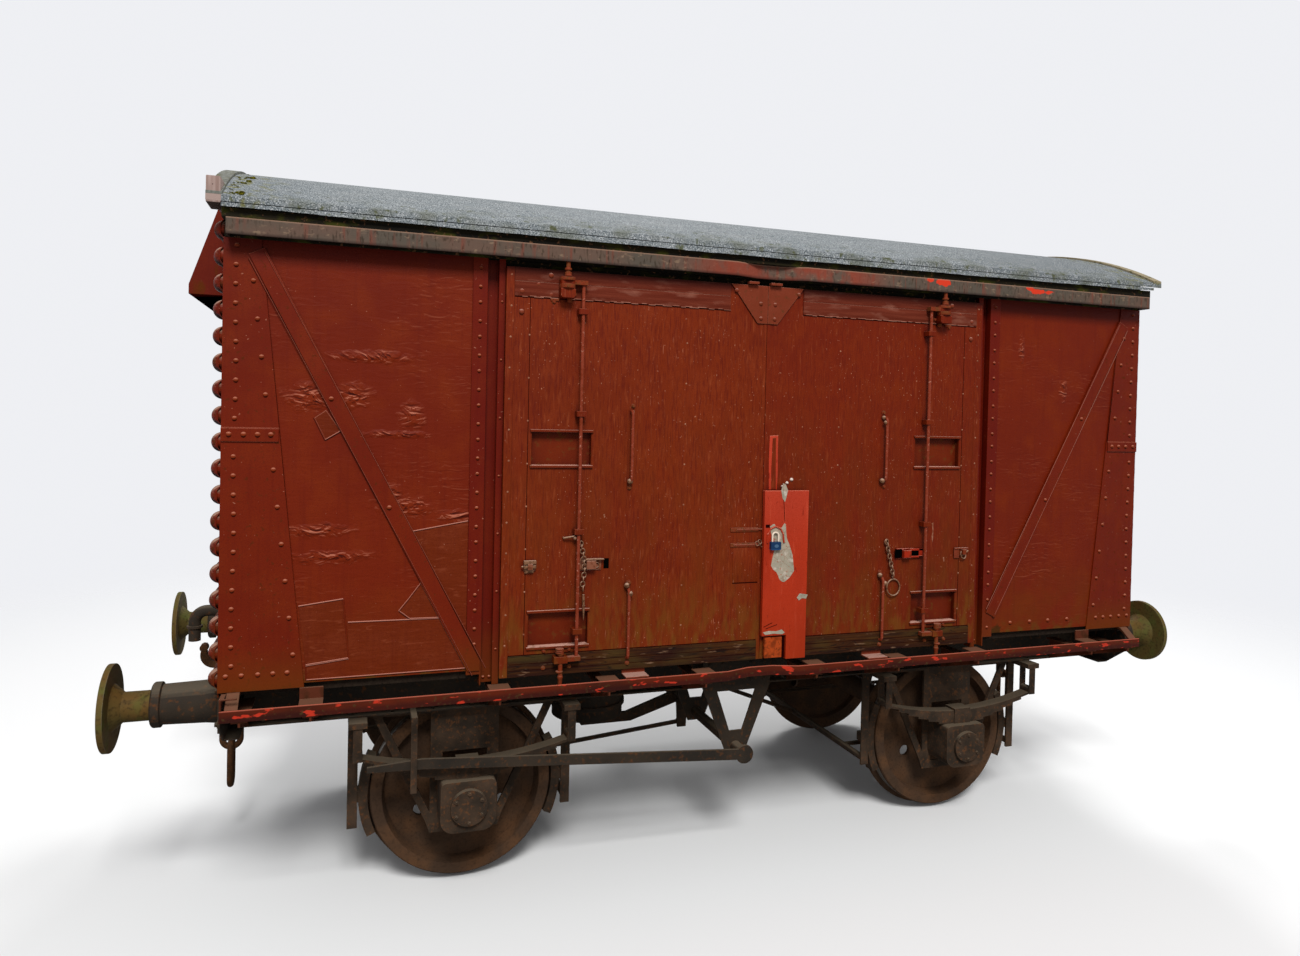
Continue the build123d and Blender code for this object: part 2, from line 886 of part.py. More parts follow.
def buffers():
    """Four self-contained buffers: a stepped barrel on a foot and a crowned head on a shank."""
    x = half_length
    y = buffer_spread / 2
    z = buffer_line
    foot = block(
        (x, x + buffer_foot_thickness),
        (y - buffer_foot_width / 2, y + buffer_foot_width / 2),
        (z - buffer_foot_height / 2, z + buffer_foot_height / 2),
    )
    mouth = x + buffer_barrel_length
    r = buffer_barrel_radius
    barrel_outline = [
        (buffer_shank_radius, x + buffer_foot_thickness),
        (r + 4, x + buffer_foot_thickness),
        (r - 4, x + 90),
        (r - 10, mouth - 46),
        (r + 2, mouth - 40),
        (r + 2, mouth - 8),
        (r - 6, mouth),
        (buffer_shank_radius, mouth),
    ]
    face = make_face(Polyline([(at, 0, radius) for radius, at in barrel_outline], close=True))
    barrel = Pos(0, y, z) * revolve(face, Axis.X, 360)
    save("buffer_barrels", four(foot + barrel))
    face_x = x + buffer_length
    edge = face_x - buffer_crown
    back = edge - buffer_head_thickness
    crown_radius = (buffer_head_radius ** 2 + buffer_crown ** 2) / (2 * buffer_crown)
    half_way = face_x - crown_radius + sqrt(crown_radius ** 2 - (buffer_head_radius / 2) ** 2)
    head = [
        Line((x + buffer_foot_thickness, 0, 0), (x + buffer_foot_thickness, 0, buffer_shank_radius)),
        Line((x + buffer_foot_thickness, 0, buffer_shank_radius), (back - 44, 0, buffer_shank_radius)),
        Line((back - 44, 0, buffer_shank_radius), (back, 0, buffer_shank_radius + 40)),
        Line((back, 0, buffer_shank_radius + 40), (back, 0, buffer_head_radius)),
        Line((back, 0, buffer_head_radius), (edge, 0, buffer_head_radius)),
        ThreePointArc((edge, 0, buffer_head_radius), (half_way, 0, buffer_head_radius / 2), (face_x, 0, 0)),
        Line((face_x, 0, 0), (x + buffer_foot_thickness, 0, 0)),
    ]
    head_solid = Pos(0, y, z) * revolve(make_face(head), Axis.X, 360)
    save("buffer_heads", four(head_solid))


def hook_pin():
    """The centre of the hook's coupling pin, as (x, z)."""
    return half_length + hook_reach, buffer_line - 6


def drawgear():
    """Drawhooks on their plates, and the coupling that hangs from each."""
    x = half_length
    z = buffer_line
    half = hook_thickness / 2
    plate = block(
        (x, x + hook_plate),
        (-hook_plate_half_width, hook_plate_half_width),
        (z - hook_plate_half_height, z + hook_plate_half_height),
    )
    shank = block(
        (x + hook_plate, x + hook_shank_reach),
        (-half, half),
        (z - hook_shank_low, z + hook_shank_high),
    )
    at, rise = x + hook_bowl_place, z + hook_bowl_rise
    bowl = bar((at, -half, rise), (at, half, rise), hook_bowl_radius)
    at, rise = x + hook_gorge_place, z + hook_gorge_rise
    gorge = bar((at, -half - 1, rise), (at, half + 1, rise), hook_gorge_radius)
    mouth = block(
        (at - hook_gorge_radius, at + hook_gorge_radius),
        (-half - 1, half + 1),
        (rise, rise + 2 * hook_bowl_radius),
    )
    at, rise = at + hook_gorge_radius + hook_nose_radius - hook_nose_bite, rise + hook_nose_rise
    nose = bar((at, -half, rise), (at, half, rise), hook_nose_radius)
    pin_x, pin_z = hook_pin()
    pin_radius = link_bar_radius + 3
    eye = bar((pin_x, -half - 1, pin_z), (pin_x, half + 1, pin_z), pin_radius + seat_gap)
    hook = plate + shank + bowl - gorge - mouth + nose - eye
    save("drawhooks", both(hook))
    save("couplings", both(*coupling()))


def oval_link(x, top, length, across):
    """A closed link of round bar from its top centreline down; across is True along Y."""
    w = link_half_width
    low = top - length
    route = [(-w, top - w), (0, top), (w, top - w), (w, low + w), (0, low), (-w, low + w)]
    where = [(x, u, z) if across else (x + u, 0, z) for u, z in route]
    path = Wire([
        ThreePointArc(where[0], where[1], where[2]).edge(),
        Line(where[2], where[3]).edge(),
        ThreePointArc(where[3], where[4], where[5]).edge(),
        Line(where[5], where[0]).edge(),
    ])
    section = Plane(origin=path @ 0, z_dir=path % 0) * Circle(link_bar_radius)
    return sweep(section, path=path)


def coupling():
    """A shackle pinned through the hook and two links that hang in it."""
    x, z = hook_pin()
    w = link_half_width
    r = link_bar_radius
    low = z - link_length
    route = [(x, -w, z), (x, -w, low), (x, 0, low - w), (x, w, low), (x, w, z)]
    path = Wire([
        Line(route[0], route[1]).edge(),
        ThreePointArc(route[1], route[2], route[3]).edge(),
        Line(route[3], route[4]).edge(),
    ])
    bow = sweep(Plane(origin=path @ 0, z_dir=path % 0) * Circle(r), path=path)
    pin = bar((x, -w - 26, z), (x, w + 26, z), r + 3)
    second_top = low - w + 2 * r + seat_gap
    second_low = second_top - link_length - 20
    third_top = second_low + 2 * r + seat_gap
    second = oval_link(x, second_top, link_length + 20, False)
    third = oval_link(x, third_top, link_length, True)
    return [bow + pin, second, third]


def brake_pipe():
    """The train pipe below the floor, rising in front of each headstock to a swan neck."""
    face_x = half_length + pipe_stand_off
    end_x = face_x + pipe_reach
    neck = [
        (end_x, pipe_offset, pipe_rise - pipe_mouth),
        (end_x, pipe_offset, pipe_rise),
        (face_x, pipe_offset, pipe_rise),
        (face_x, pipe_offset, pipe_height),
    ]
    other = [(-x, -y, z) for x, y, z in reversed(neck)]
    crossing = [(-pipe_crossing, pipe_offset, pipe_height), (-pipe_crossing, -pipe_offset, pipe_height)]
    pipe = bent_bar(neck + crossing + other, 2 * pipe_radius, pipe_radius)
    horn_z = neck[0][2] + pipe_horn
    horn = bar((end_x, pipe_offset, horn_z), (end_x, pipe_offset, horn_z + pipe_horn_rim), pipe_radius + 9)
    save("brake_pipe", [pipe + horn + turned(horn)])
    clamps = []
    straps = block(
        (half_length, face_x),
        (pipe_offset - 45, pipe_offset + 45),
        (frame_top - 90, frame_top - 50),
    )
    post = bar((face_x, pipe_offset, pipe_height), (face_x, pipe_offset, pipe_rise), pipe_radius)
    clamps += both(straps - post)
    run = bar((-half_length, pipe_offset, pipe_height), (half_length, pipe_offset, pipe_height), pipe_radius)
    for place in (crossbar_places[1], crossbar_places[3]):
        x = place - solebar_flange if place > 0 else place
        hanger = block((x, x + 40), (pipe_offset - 20, pipe_offset + 20), (pipe_height, frame_bottom))
        clamps.append(hanger - run)
    save("pipe_clamps", clamps)


def corrugated_end():
    """A pressed end sheet: level corrugations from the headstock to the roof."""
    low = frame_top
    slope = (corrugation_pitch - corrugation_valley - corrugation_crest) / 2
    rows = int((roof_top - low) / corrugation_pitch) + 1
    outer = [(half_length, low)]
    for row in range(rows):
        z = low + row * corrugation_pitch
        outer += [
            (half_length, z + corrugation_valley),
            (crest_plane, z + corrugation_valley + slope),
            (crest_plane, z + corrugation_valley + slope + corrugation_crest),
            (half_length, z + corrugation_pitch),
        ]
    outer.append((half_length, low + rows * corrugation_pitch + corrugation_valley))
    width = side_plane - sheet_thickness - 7
    front = FilletPolyline(*[(x, -width, z) for x, z in outer], radius=corrugation_round)
    back = FilletPolyline(*[(x - end_sheet, -width, z) for x, z in outer], radius=corrugation_round)
    face = make_face([front, back, Line(front @ 0, back @ 0), Line(front @ 1, back @ 1)])
    return under_roof(extrude(face, amount=2 * width, dir=(0, 1, 0)))


def end_hood():
    """The sheet-metal hood over the ventilator high on one end, open below."""
    x = crest_plane
    outline = [
        (x, base + hood_top),
        (x + hood_crown, base + hood_top),
        (x + hood_reach, base + hood_lip_top),
        (x + hood_reach, base + hood_bottom),
        (x, base + hood_bottom),
    ]
    t = hood_sheet
    hollow = [
        (x - 1, base + hood_top - t),
        (x + hood_crown - t, base + hood_top - t),
        (x + hood_reach - t, base + hood_lip_top),
        (x + hood_reach - t, base + hood_bottom - 1),
        (x - 1, base + hood_bottom - 1),
    ]
    w = hood_half_width
    shell = plate_xz(outline, -w, w) - plate_xz(hollow, -w + t, w - t)
    return under_roof(shell)


def ends():
    save("end_sheets", both(corrugated_end()))
    save("end_ventilator_hoods", both(end_hood()))


def side_sheets():
    """The side between pillar and corner, at the +X end of the -Y side, and its mirror."""
    panel = block(
        (pillar_outer, half_length - end_sheet),
        (out(-sheet_thickness), out(-sheet_thickness - panel_thickness)),
        (base + plywood_lift, base + side_height),
    )
    corner = plate_xz(
        [
            (half_length - corner_foot_width, base),
            (half_length, base),
            (half_length, base + side_height),
            (half_length - corner_top_width, base + side_height),
            (half_length - corner_top_width, base + corner_cut_top),
        ],
        out(0),
        out(-sheet_thickness),
    )
    corner = corner + block(
        (half_length - joint_plate_length, half_length),
        (out(0), out(brace_proud)),
        (base + joint_plate_bottom, base + joint_plate_top),
    )
    corner = corner + block(
        (half_length - end_sheet, half_length),
        (out(0), out(-corner_return)),
        (base, base + side_height),
    )
    save("side_panels", four(panel))
    save("corner_sheets", four(corner))
    left = mirrored_x(brace(*left_brace) - corner)
    right = brace(*right_brace) - corner
    save("diagonal_braces", both(left, right))
    patched = []
    for outline in patches:
        points = [(x, base + height) for x, height in outline]
        patch = plate_xz(points, out(-sheet_thickness + patch_thickness), out(-sheet_thickness))
        patched.append(patch - left)
    save("panel_patches", patched)


def brace(inset, top_drop, beyond, low_z):
    """The pressed strap across one panel, from its top near the corner to its foot by the pillar."""
    top_x = half_length - inset
    top_z = side_height - top_drop
    low_x = pillar_outer + beyond
    half = brace_width / 2
    run = sqrt((top_x - low_x) ** 2 + (top_z - low_z) ** 2)
    across = ((top_z - low_z) / run * half, (top_x - low_x) / run * half)
    outline = [
        (top_x - across[0], base + top_z + across[1]),
        (top_x + across[0], base + top_z - across[1]),
        (low_x + across[0], base + low_z - across[1]),
        (low_x - across[0], base + low_z + across[1]),
    ]
    strap = plate_xz(outline, out(brace_proud), out(-sheet_thickness))
    keep = block(
        (pillar_outer, half_length),
        (out(brace_proud), out(-sheet_thickness)),
        (base + plywood_lift, base + side_height),
    )
    pillar_zone = block(
        (0, pillar_outer + pillar_strip),
        (out(0), out(-sheet_thickness)),
        (base - pillar_drop, base + side_height),
    )
    return (strap & keep) - pillar_zone


def pillars():
    """The rolled pillar beside each door: a strip on the panel, a sunk web and a door flange."""
    t = sheet_thickness
    low = base - pillar_drop
    high = base + side_height
    strip = block((pillar_outer, pillar_outer + pillar_strip), (out(0), out(-t)), (base, high))
    wall = block((pillar_outer - t, pillar_outer), (out(0), out(-pillar_depth)), (low, high))
    web = block(
        (door_half_opening, pillar_outer),
        (out(-pillar_depth), out(-pillar_depth - t)),
        (low, high),
    )
    flange = block(
        (door_half_opening, door_half_opening + t),
        (out(-pillar_depth), out(0)),
        (low, high),
    )
    lip = block((door_half_opening, door_half_opening + pillar_flange), (out(0), out(-t)), (low, high))
    save("door_pillars", four(strip + wall + web + flange + lip))


def cantrail():
    """The long timber over the side, shaped to the roof, with a lintel behind the doors' top."""
    rail = block(
        (-half_length + end_sheet, half_length - end_sheet),
        (out(cantrail_proud), out(cantrail_proud - cantrail_depth)),
        (base + side_height, roof_top),
    )
    behind = door_proud - door_thickness - 1
    lintel = block(
        (-door_half_opening, door_half_opening),
        (out(behind), out(behind - lintel_thickness)),
        (base + door_top - lintel_lap, base + side_height),
    )
    save("cantrails", both(under_roof(rail) + lintel))


def door(side):
    """One plug door of the -Y side; side is -1 for the left one and 1 for the right."""
    near, far = side * 1.0, side * door_half_opening
    low, high = base + door_bottom, base + door_top
    back = out(door_proud - door_thickness)
    leaf = block((near, far), (out(door_proud), back), (low, high))
    face = (out(door_proud), out(door_proud + door_frame_proud))
    leaf = leaf + block((far, far - side * door_frame), face, (low, high))
    leaf = leaf + block((near, near + side * door_frame / 2), face, (low, high))
    for row_low, row_height in pan_rows:
        pocket = block(
            (side * (pan_middle - pan_width / 2), side * (pan_middle + pan_width / 2)),
            (out(door_proud + 1), out(door_proud - pan_depth)),
            (base + row_low, base + row_low + row_height),
        )
        leaf = leaf - pocket
    return leaf


def door_pan(side, row_low, row_height):
    """A pressed step let into the door: a thin tray with a turned lip above and below."""
    x = (side * (pan_middle - pan_width / 2), side * (pan_middle + pan_width / 2))
    z = (base + row_low, base + row_low + row_height)
    t = side * pan_sheet
    tray = block(x, (out(door_proud), out(door_proud - pan_depth)), z)
    tray = tray - block(
        (x[0] + t, x[1] - t),
        (out(door_proud + 1), out(door_proud - pan_depth + pan_sheet)),
        (z[0] + pan_sheet, z[1] - pan_sheet),
    )
    for edge, reach in ((z[0], -10), (z[1], 10)):
        tray = tray + block(
            (x[0] - 2 * t, x[1] + 2 * t),
            (out(door_proud), out(door_proud + 10)),
            (edge - pan_sheet * reach / 10, edge + reach),
        )
    return tray


def doors():
    """The four doors with their pans, boards and gusset plates."""
    for name, side in (("left", -1), ("right", 1)):
        leaf = door(side)
        save("door_front_" + name, [leaf])
        save("door_back_" + name, [turned(leaf)])
    pans = [door_pan(side, *row) for side in (-1, 1) for row in pan_rows]
    save("door_step_pans", both(*pans))
    tops, bottoms, gussets = [], [], []
    outer = door_half_opening - door_frame
    for side in (-1, 1):
        face = (out(door_proud), out(door_proud + board_proud))
        top = base + door_top
        tops.append(block(
            (side * (gusset_reach + 3), side * outer), face, (top - top_board_height, top)
        ))
        low = base + door_bottom
        bottoms.append(block(
            (side * (door_frame / 2 + 2), side * outer), face, (low, low + bottom_board_height)
        ))
        gussets.append(plate_xz(
            [
                (side * 1.0, top),
                (side * gusset_reach, top),
                (side * gusset_toe, top - gusset_drop),
                (side * 1.0, top - gusset_drop),
            ],
            out(door_proud + door_frame_proud + gusset_proud),
            out(door_proud + door_frame_proud),
        ))
    save("door_top_boards", both(*tops))
    save("door_bottom_boards", both(*bottoms))
    save("door_gussets", both(*gussets))


def lock_rods():
    """The upright rods that work each door's cranks, the cranks, and their brackets."""
    rods, cranks, brackets = [], [], []
    for side in (-1, 1):
        x = side * rod_place
        y = out(rod_stand_off)
        rod = bar((x, y, base + rod_low), (x, y, base + rod_high), rod_radius)
        rods.append(rod)
        peg_x = side * crank_reach
        peg_y = out(rail_stand_off - rail_sheet - peg_radius)
        arms = (
            (base + rod_low - crank_thickness, base + rod_low),
            (base + rod_high, base + rod_high + crank_thickness),
        )
        for z_low, z_high in arms:
            arm = plate_xy(
                [
                    (x + side * crank_half, y + crank_half),
                    (x - side * crank_half, y + crank_half),
                    (x - side * crank_half, y - crank_half),
                    (peg_x + side * crank_tip_half, peg_y - crank_tip_half),
                    (peg_x + side * crank_tip_half, peg_y + crank_tip_half),
                ],
                z_low,
                z_high,
            )
            if z_low > base + rod_low:
                ends = (z_low, base + upper_rail_top - rail_sheet)
                collar = (z_high + crank_block_above, z_high + crank_block_above + peg_collar_length)
                knob = bar((peg_x, peg_y, collar[0]), (peg_x, peg_y, collar[1]), peg_collar_radius)
            else:
                ends = (base + lower_rail_bottom + rail_sheet, z_high + peg_knuckle_rise)
                collar = (z_high + crank_block_above, z_high + peg_knuckle_rise)
                knob = bar((peg_x, peg_y, collar[0]), (peg_x, peg_y, collar[1]), peg_collar_radius)
                ball_z = z_high - peg_ball_drop - peg_ball_radius
                knob = knob + Pos(peg_x, peg_y, ball_z) * Sphere(peg_ball_radius)
            peg = bar((peg_x, peg_y, ends[0]), (peg_x, peg_y, ends[1]), peg_radius)
            crank = arm + peg + knob
            cranks.append(crank)
            if z_low > base + rod_low:
                across = (peg_x - crank_block_half, peg_x + crank_block_half)
                low = z_low - crank_block_below
                head = block(
                    across,
                    (out(door_proud + board_proud), out(crank_block_depth)),
                    (low, z_high + crank_block_above),
                )
                head = fillet(head.edges().filter_by(Axis.Z), crank_block_above)
                bearing = block(
                    across,
                    (out(door_proud), out(crank_block_depth)),
                    (low - crank_bearing_height, low),
                )
                bearing = fillet(bearing.edges().filter_by(Axis.Y).group_by(Axis.Z)[0], crank_block_above)
                brackets += [head - crank, bearing - crank]
            else:
                across = (peg_x - crank_foot_half, peg_x + crank_foot_half)
                foot = block(
                    across,
                    (out(door_proud + board_proud), out(crank_block_depth)),
                    (z_low - crank_foot_rise, z_high + crank_foot_rise),
                )
                brackets.append(foot - crank)
        for height in rod_bracket_heights + (rod_high - rod_bracket_top,):
            z = base + height
            bracket = block(
                (x - 24, x + 24),
                (out(door_proud), out(rod_stand_off + 15)),
                (z - rod_bracket_half, z + rod_bracket_half),
            )
            brackets.append(bracket - rod)
    save("lock_rods", both(*rods))
    save("lock_rod_cranks", both(*cranks))
    save("lock_rod_brackets", both(*brackets))


def door_furniture():
    """Hand grips, latches and keepers on the doors."""
    grips, latches = [], []
    for side in (-1, 1):
        x = side * grip_place
        for low, high, seat in grip_rows:
            z = (base + low + grip_radius, base + high - grip_radius)
            grips.append(bent_bar(
                [
                    (x, out(door_proud + seat), z[0]),
                    (x, out(grip_stand_off), z[0]),
                    (x, out(grip_stand_off), z[1]),
                    (x, out(door_proud), z[1]),
                ],
                grip_bend,
                grip_radius,
            ))
        x = latch_places[0] if side < 0 else latch_places[1]
        z = base + latch_height
        face = out(door_proud)
        plate = block((x - 58, x + 58), (face, face - 6), (z - 30, z + 30))
        case = block((x - 24, x + 24), (face - 6, face - 34), (z - 22, z + 22))
        x = keeper_places[0] if side < 0 else keeper_places[1]
        base_plate = block((x - 30, x + 30), (face, face - 5), (z - 24, z + 24))
        staple = block((x - 12, x + 12), (face - 5, face - 30), (z - 16, z + 16))
        latches += [plate + case, base_plate + staple]
    save("door_grips", both(*grips))
    save("door_latches", both(*latches))


def rail_plan(width, y_inner=None):
    """The plan of a rail: its outer line jogs inwards where the doors meet."""
    face = out(rail_stand_off)
    line = [
        (-rail_half, face),
        (-jog_outer, face),
        (-jog_inner, face + jog_depth),
        (jog_inner, face + jog_depth),
        (jog_outer, face),
        (rail_half, face),
    ]
    if y_inner is None:
        back = [(x, y + width) for x, y in reversed(line)]
    else:
        back = [(rail_half, y_inner), (-rail_half, y_inner)]
    return line + back


def door_rails():
    """The top and bottom door rails of each side, angles with closed ends, and their brackets."""
    t = rail_sheet
    wall = out(cantrail_proud)
    upper = plate_xy(rail_plan(t), base + upper_rail_bottom, base + upper_rail_top)
    upper = upper + plate_xy(rail_plan(None, wall), base + upper_rail_top - t, base + upper_rail_top)
    lower = plate_xy(rail_plan(t), base + lower_rail_bottom, base + lower_rail_top)
    foot = plate_xy(rail_plan(lower_rail_width), base + lower_rail_bottom, base + lower_rail_bottom + t)
    lower = lower + foot
    for side in (-1, 1):
        x = (side * rail_half, side * (rail_half - t))
        upper = upper + block(x, (out(rail_stand_off), wall), (base + upper_rail_bottom, base + upper_rail_top))
    save("upper_door_rails", both(upper))
    save("lower_door_rails", both(lower))
    save("lower_rail_brackets", both(*rail_brackets()))
    shelves = []
    for side in (-1, 1):
        x = side * shelf_place
        face = out(door_proud - 20)
        z = base + door_bottom
        leg = block((x - shelf_half, x + shelf_half), (face, face - 12), (base + lower_rail_top + 4, z))
        shelf = block(
            (x - shelf_half, x + shelf_half),
            (face, out(rail_stand_off + 2)),
            (base + lower_rail_top + 4, base + lower_rail_top + 4 + shelf_thickness),
        )
        shelves.append(leg + shelf)
    save("door_foot_shelves", both(*shelves))


def rail_brackets():
    """What carries the bottom rail: plates from the solebar, leaves under the side, end straps."""
    low = base + lower_rail_bottom
    top = base + lower_rail_top
    back = out(rail_stand_off - rail_sheet)
    pieces = []
    for side in (-1, 1):
        for place in (half_length - end_bracket_setback,) + bracket_places:
            x = side * place
            pieces.append(plate_yz(
                [
                    (-solebar_face, frame_bottom + 6),
                    (-solebar_face, low),
                    (back, low),
                    (back, low - bracket_toe),
                ],
                x - bracket_plate / 2,
                x + bracket_plate / 2,
            ) + block(
                (x - bracket_flange_half, x + bracket_flange_half),
                (-solebar_face, back),
                (low - rail_sheet, low),
            ))
        for place in bracket_places:
            x = (side * (place - bracket_half), side * (place + bracket_half))
            leaf = block(x, (out(-sheet_thickness), back), (top - bracket_leaf, top))
            if place > pillar_outer + pillar_strip:
                leaf = leaf + block(x, (out(-sheet_thickness), out(1)), (top, base))
            pieces.append(leaf)
        near = rail_half - end_strap_setback
        pieces.append(plate_yz(
            [
                (out(panel_inner - side_plane), frame_top),
                (out(panel_inner - side_plane), base),
                (out(end_strap_thickness), base),
                (back, top),
                (back, top - end_strap_thickness),
                (out(0), base - end_strap_thickness),
            ],
            side * near,
            side * (near - end_strap_width),
        ))
    hoop = plate_xz(
        [
            (-rail_half, top),
            (-rail_half, base),
            (-rail_half + end_hoop_length, base),
            (-rail_half + end_hoop_length, base - bracket_leaf),
            (-rail_half + bracket_leaf, base - bracket_leaf),
            (-rail_half + bracket_leaf, top),
        ],
        out(rail_stand_off),
        out(end_strap_thickness),
    )
    strap_zone = block((-rail_half + end_strap_setback, 0), (0, back), (frame_top, base + 1))
    pieces.append(hoop - strap_zone)
    return pieces


def roof():
    """The arched roof, its end battens and the boards under its eaves."""
    def arched(radius_out, radius_in, x_from, x_to, half):
        points = []
        for r in (radius_out, radius_in):
            z = roof_centre + sqrt(r ** 2 - half ** 2)
            points.append([(x_from, -half, z), (x_from, 0, roof_centre + r), (x_from, half, z)])
        over, under = points
        outline = [
            ThreePointArc(*over),
            Line(over[2], under[2]),
            ThreePointArc(*reversed(under)),
            Line(under[0], over[0]),
        ]
        return extrude(make_face(outline), amount=x_to - x_from, dir=(1, 0, 0))

    r = roof_radius
    sheet = arched(r, r - roof_thickness, -roof_half_length, roof_half_length, roof_half_width)
    save("roof", [sheet])
    batten = arched(
        r + batten_thickness, r, roof_half_length - batten_width, roof_half_length, roof_half_width
    )
    save("roof_end_battens", both(batten))
    board = block(
        (-half_length, half_length),
        (out(cantrail_proud), out(cantrail_proud + eave_board_width)),
        (base + upper_rail_top, base + upper_rail_top + eave_board_thickness),
    )
    save("eave_boards", both(board))


def security_board():
    """The red board over the meeting line of the -Y doors, its shoe, hasps and padlock."""
    face = out(door_proud + board_proud)
    front = face - board_thickness
    notch_x, notch_z = board_notch
    low = base + board_low
    outline = [
        (board_left + notch_x, low),
        (board_right, low),
        (board_right, base + board_high),
        (board_left, base + board_high),
        (board_left, low + notch_z),
        (board_left + notch_x, low + notch_z),
    ]
    save("security_board", [plate_xz(outline, front, face)])
    shoe_left = board_left + (notch_x - board_shoe_length) / 2
    shoe = block(
        (shoe_left, shoe_left + board_shoe_length),
        (face, face - board_shoe_thickness),
        (low + board_shoe_gap, low + notch_z - board_shoe_gap),
    )
    save("security_board_shoe", [shoe])
    hasps = []
    for height in hasp_heights:
        z = base + height
        strap = block(
            (-door_frame / 2 - 2 - hasp_reach, -door_frame / 2 - 2),
            (out(door_proud), out(door_proud + hasp_thickness)),
            (z - 11, z + 11),
        )
        hasps.append(strap)
    save("hasp_bars", hasps)
    x = board_left + padlock_place
    z = base + padlock_height
    half = padlock_width / 2
    y = front - padlock_thickness / 2
    case = block(
        (x - half, x + half),
        (front, front - padlock_thickness),
        (z - padlock_half_height, z + padlock_half_height),
    )
    case = fillet(case.edges().filter_by(Axis.Y), padlock_shackle_radius)
    leg = half - padlock_shackle_inset
    top = z + padlock_half_height
    shackle = bent_bar(
        [
            (x - leg, y, top),
            (x - leg, y, top + padlock_shackle_rise),
            (x + leg, y, top + padlock_shackle_rise),
            (x + leg, y, top),
        ],
        leg - 1,
        padlock_shackle_radius,
    )
    save("padlock", [case + shackle])


underframe()
floor()
suspension()
wheelsets()
brake_gear()
buffers()
drawgear()
brake_pipe()
ends()
side_sheets()
pillars()
cantrail()
doors()
lock_rods()
door_furniture()
door_rails()
roof()
security_board()
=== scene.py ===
from math import copysign, cos, hypot, pi, radians, sin

import bmesh
import bpy
from mathutils import Matrix, Vector, noise


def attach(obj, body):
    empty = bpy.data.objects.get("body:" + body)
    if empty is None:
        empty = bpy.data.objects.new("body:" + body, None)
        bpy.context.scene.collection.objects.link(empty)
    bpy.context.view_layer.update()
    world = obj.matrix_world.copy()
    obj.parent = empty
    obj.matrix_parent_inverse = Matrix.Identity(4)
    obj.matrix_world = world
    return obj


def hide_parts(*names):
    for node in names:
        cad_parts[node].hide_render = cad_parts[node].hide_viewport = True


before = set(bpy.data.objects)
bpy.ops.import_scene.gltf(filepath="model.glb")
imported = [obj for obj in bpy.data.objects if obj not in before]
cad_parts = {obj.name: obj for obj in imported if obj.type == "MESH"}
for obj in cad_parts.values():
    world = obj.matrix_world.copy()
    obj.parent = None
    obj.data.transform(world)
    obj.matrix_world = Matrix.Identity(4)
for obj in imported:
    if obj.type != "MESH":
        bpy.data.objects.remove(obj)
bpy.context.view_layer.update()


# The stage: a plain pale floor, a soft pale sky, a broad lamp high on the left and a weaker one
# behind. The camera stands on the side with the red board, left of the doors, with a wide lens.

def tint(red, green, blue):
    """A colour as it looks, 0 to 255, in the linear numbers that Blender takes."""
    parts = [part / 255 for part in (red, green, blue)]
    linear = [part / 12.92 if part <= 0.04045 else ((part + 0.055) / 1.055) ** 2.4 for part in parts]
    return linear + [1.0]


def fill(tree, node, inputs):
    """Gives a node its inputs, each a value or another node's output."""
    for key, value in inputs.items():
        if isinstance(value, bpy.types.NodeSocket):
            tree.links.new(value, node.inputs[key])
        else:
            node.inputs[key].default_value = value
    return node


def added(tree, kind, inputs, **settings):
    """A new node with its settings and its inputs."""
    node = tree.nodes.new("ShaderNode" + kind)
    for key, value in settings.items():
        setattr(node, key, value)
    return fill(tree, node, inputs)


def placed(name, data):
    """A new object in the scene."""
    thing = bpy.data.objects.new(name, data)
    bpy.context.scene.collection.objects.link(thing)
    return thing


ground_shape = bmesh.new()
bmesh.ops.create_grid(ground_shape, x_segments=1, y_segments=1, size=60)
ground_mesh = bpy.data.meshes.new("ground")
ground_shape.to_mesh(ground_mesh)
ground_shape.free()
ground = placed("ground", ground_mesh)
ground_paint = bpy.data.materials.new("pale_floor")
ground_paint.use_nodes = True
ground_mesh.materials.append(ground_paint)
tree = ground_paint.node_tree
seen = added(tree, "LightPath", {}).outputs["Is Camera Ray"]
tones = {0: seen, 6: tint(150, 149, 147), 7: tint(233, 233, 232)}
tone = added(tree, "Mix", tones, data_type="RGBA").outputs[2]
spread = added(tree, "TexCoord", {}).outputs["Object"]
distance = added(tree, "VectorMath", {0: spread}, operation="LENGTH").outputs["Value"]
reach = {"Value": distance, "From Min": 12.0, "From Max": 4.5}
shown = added(tree, "MapRange", reach, interpolation_type="SMOOTHSTEP").outputs[0]
matt = {"Roughness": 0.9, "Specular IOR Level": 0.1, "Base Color": tone, "Alpha": shown}
fill(tree, tree.nodes["Principled BSDF"], matt)

sky = bpy.data.worlds.new("pale_sky")
sky.use_nodes = True
bpy.context.scene.world = sky
tree = sky.node_tree
rays = added(tree, "LightPath", {}).outputs
through = {0: rays["Is Glossy Ray"], 1: rays["Is Transmission Ray"]}
mirrored = added(tree, "Math", through, operation="MAXIMUM").outputs[0]
seen = added(tree, "Math", {0: rays["Is Camera Ray"], 1: mirrored}, operation="MAXIMUM").outputs[0]
strength = added(tree, "MapRange", {"Value": seen, "To Min": 0.5, "To Max": 0.9}).outputs[0]
fill(tree, tree.nodes["Background"], {"Color": tint(250, 251, 255), "Strength": strength})


def lamp(name, place, aim, size, power):
    """A broad square lamp that points at a place."""
    light = bpy.data.lights.new(name, "AREA")
    light.size = size
    light.energy = power
    turn = (Vector(aim) - Vector(place)).to_track_quat("-Z", "Y").to_matrix().to_4x4()
    placed(name, light).matrix_world = Matrix.Translation(place) @ turn


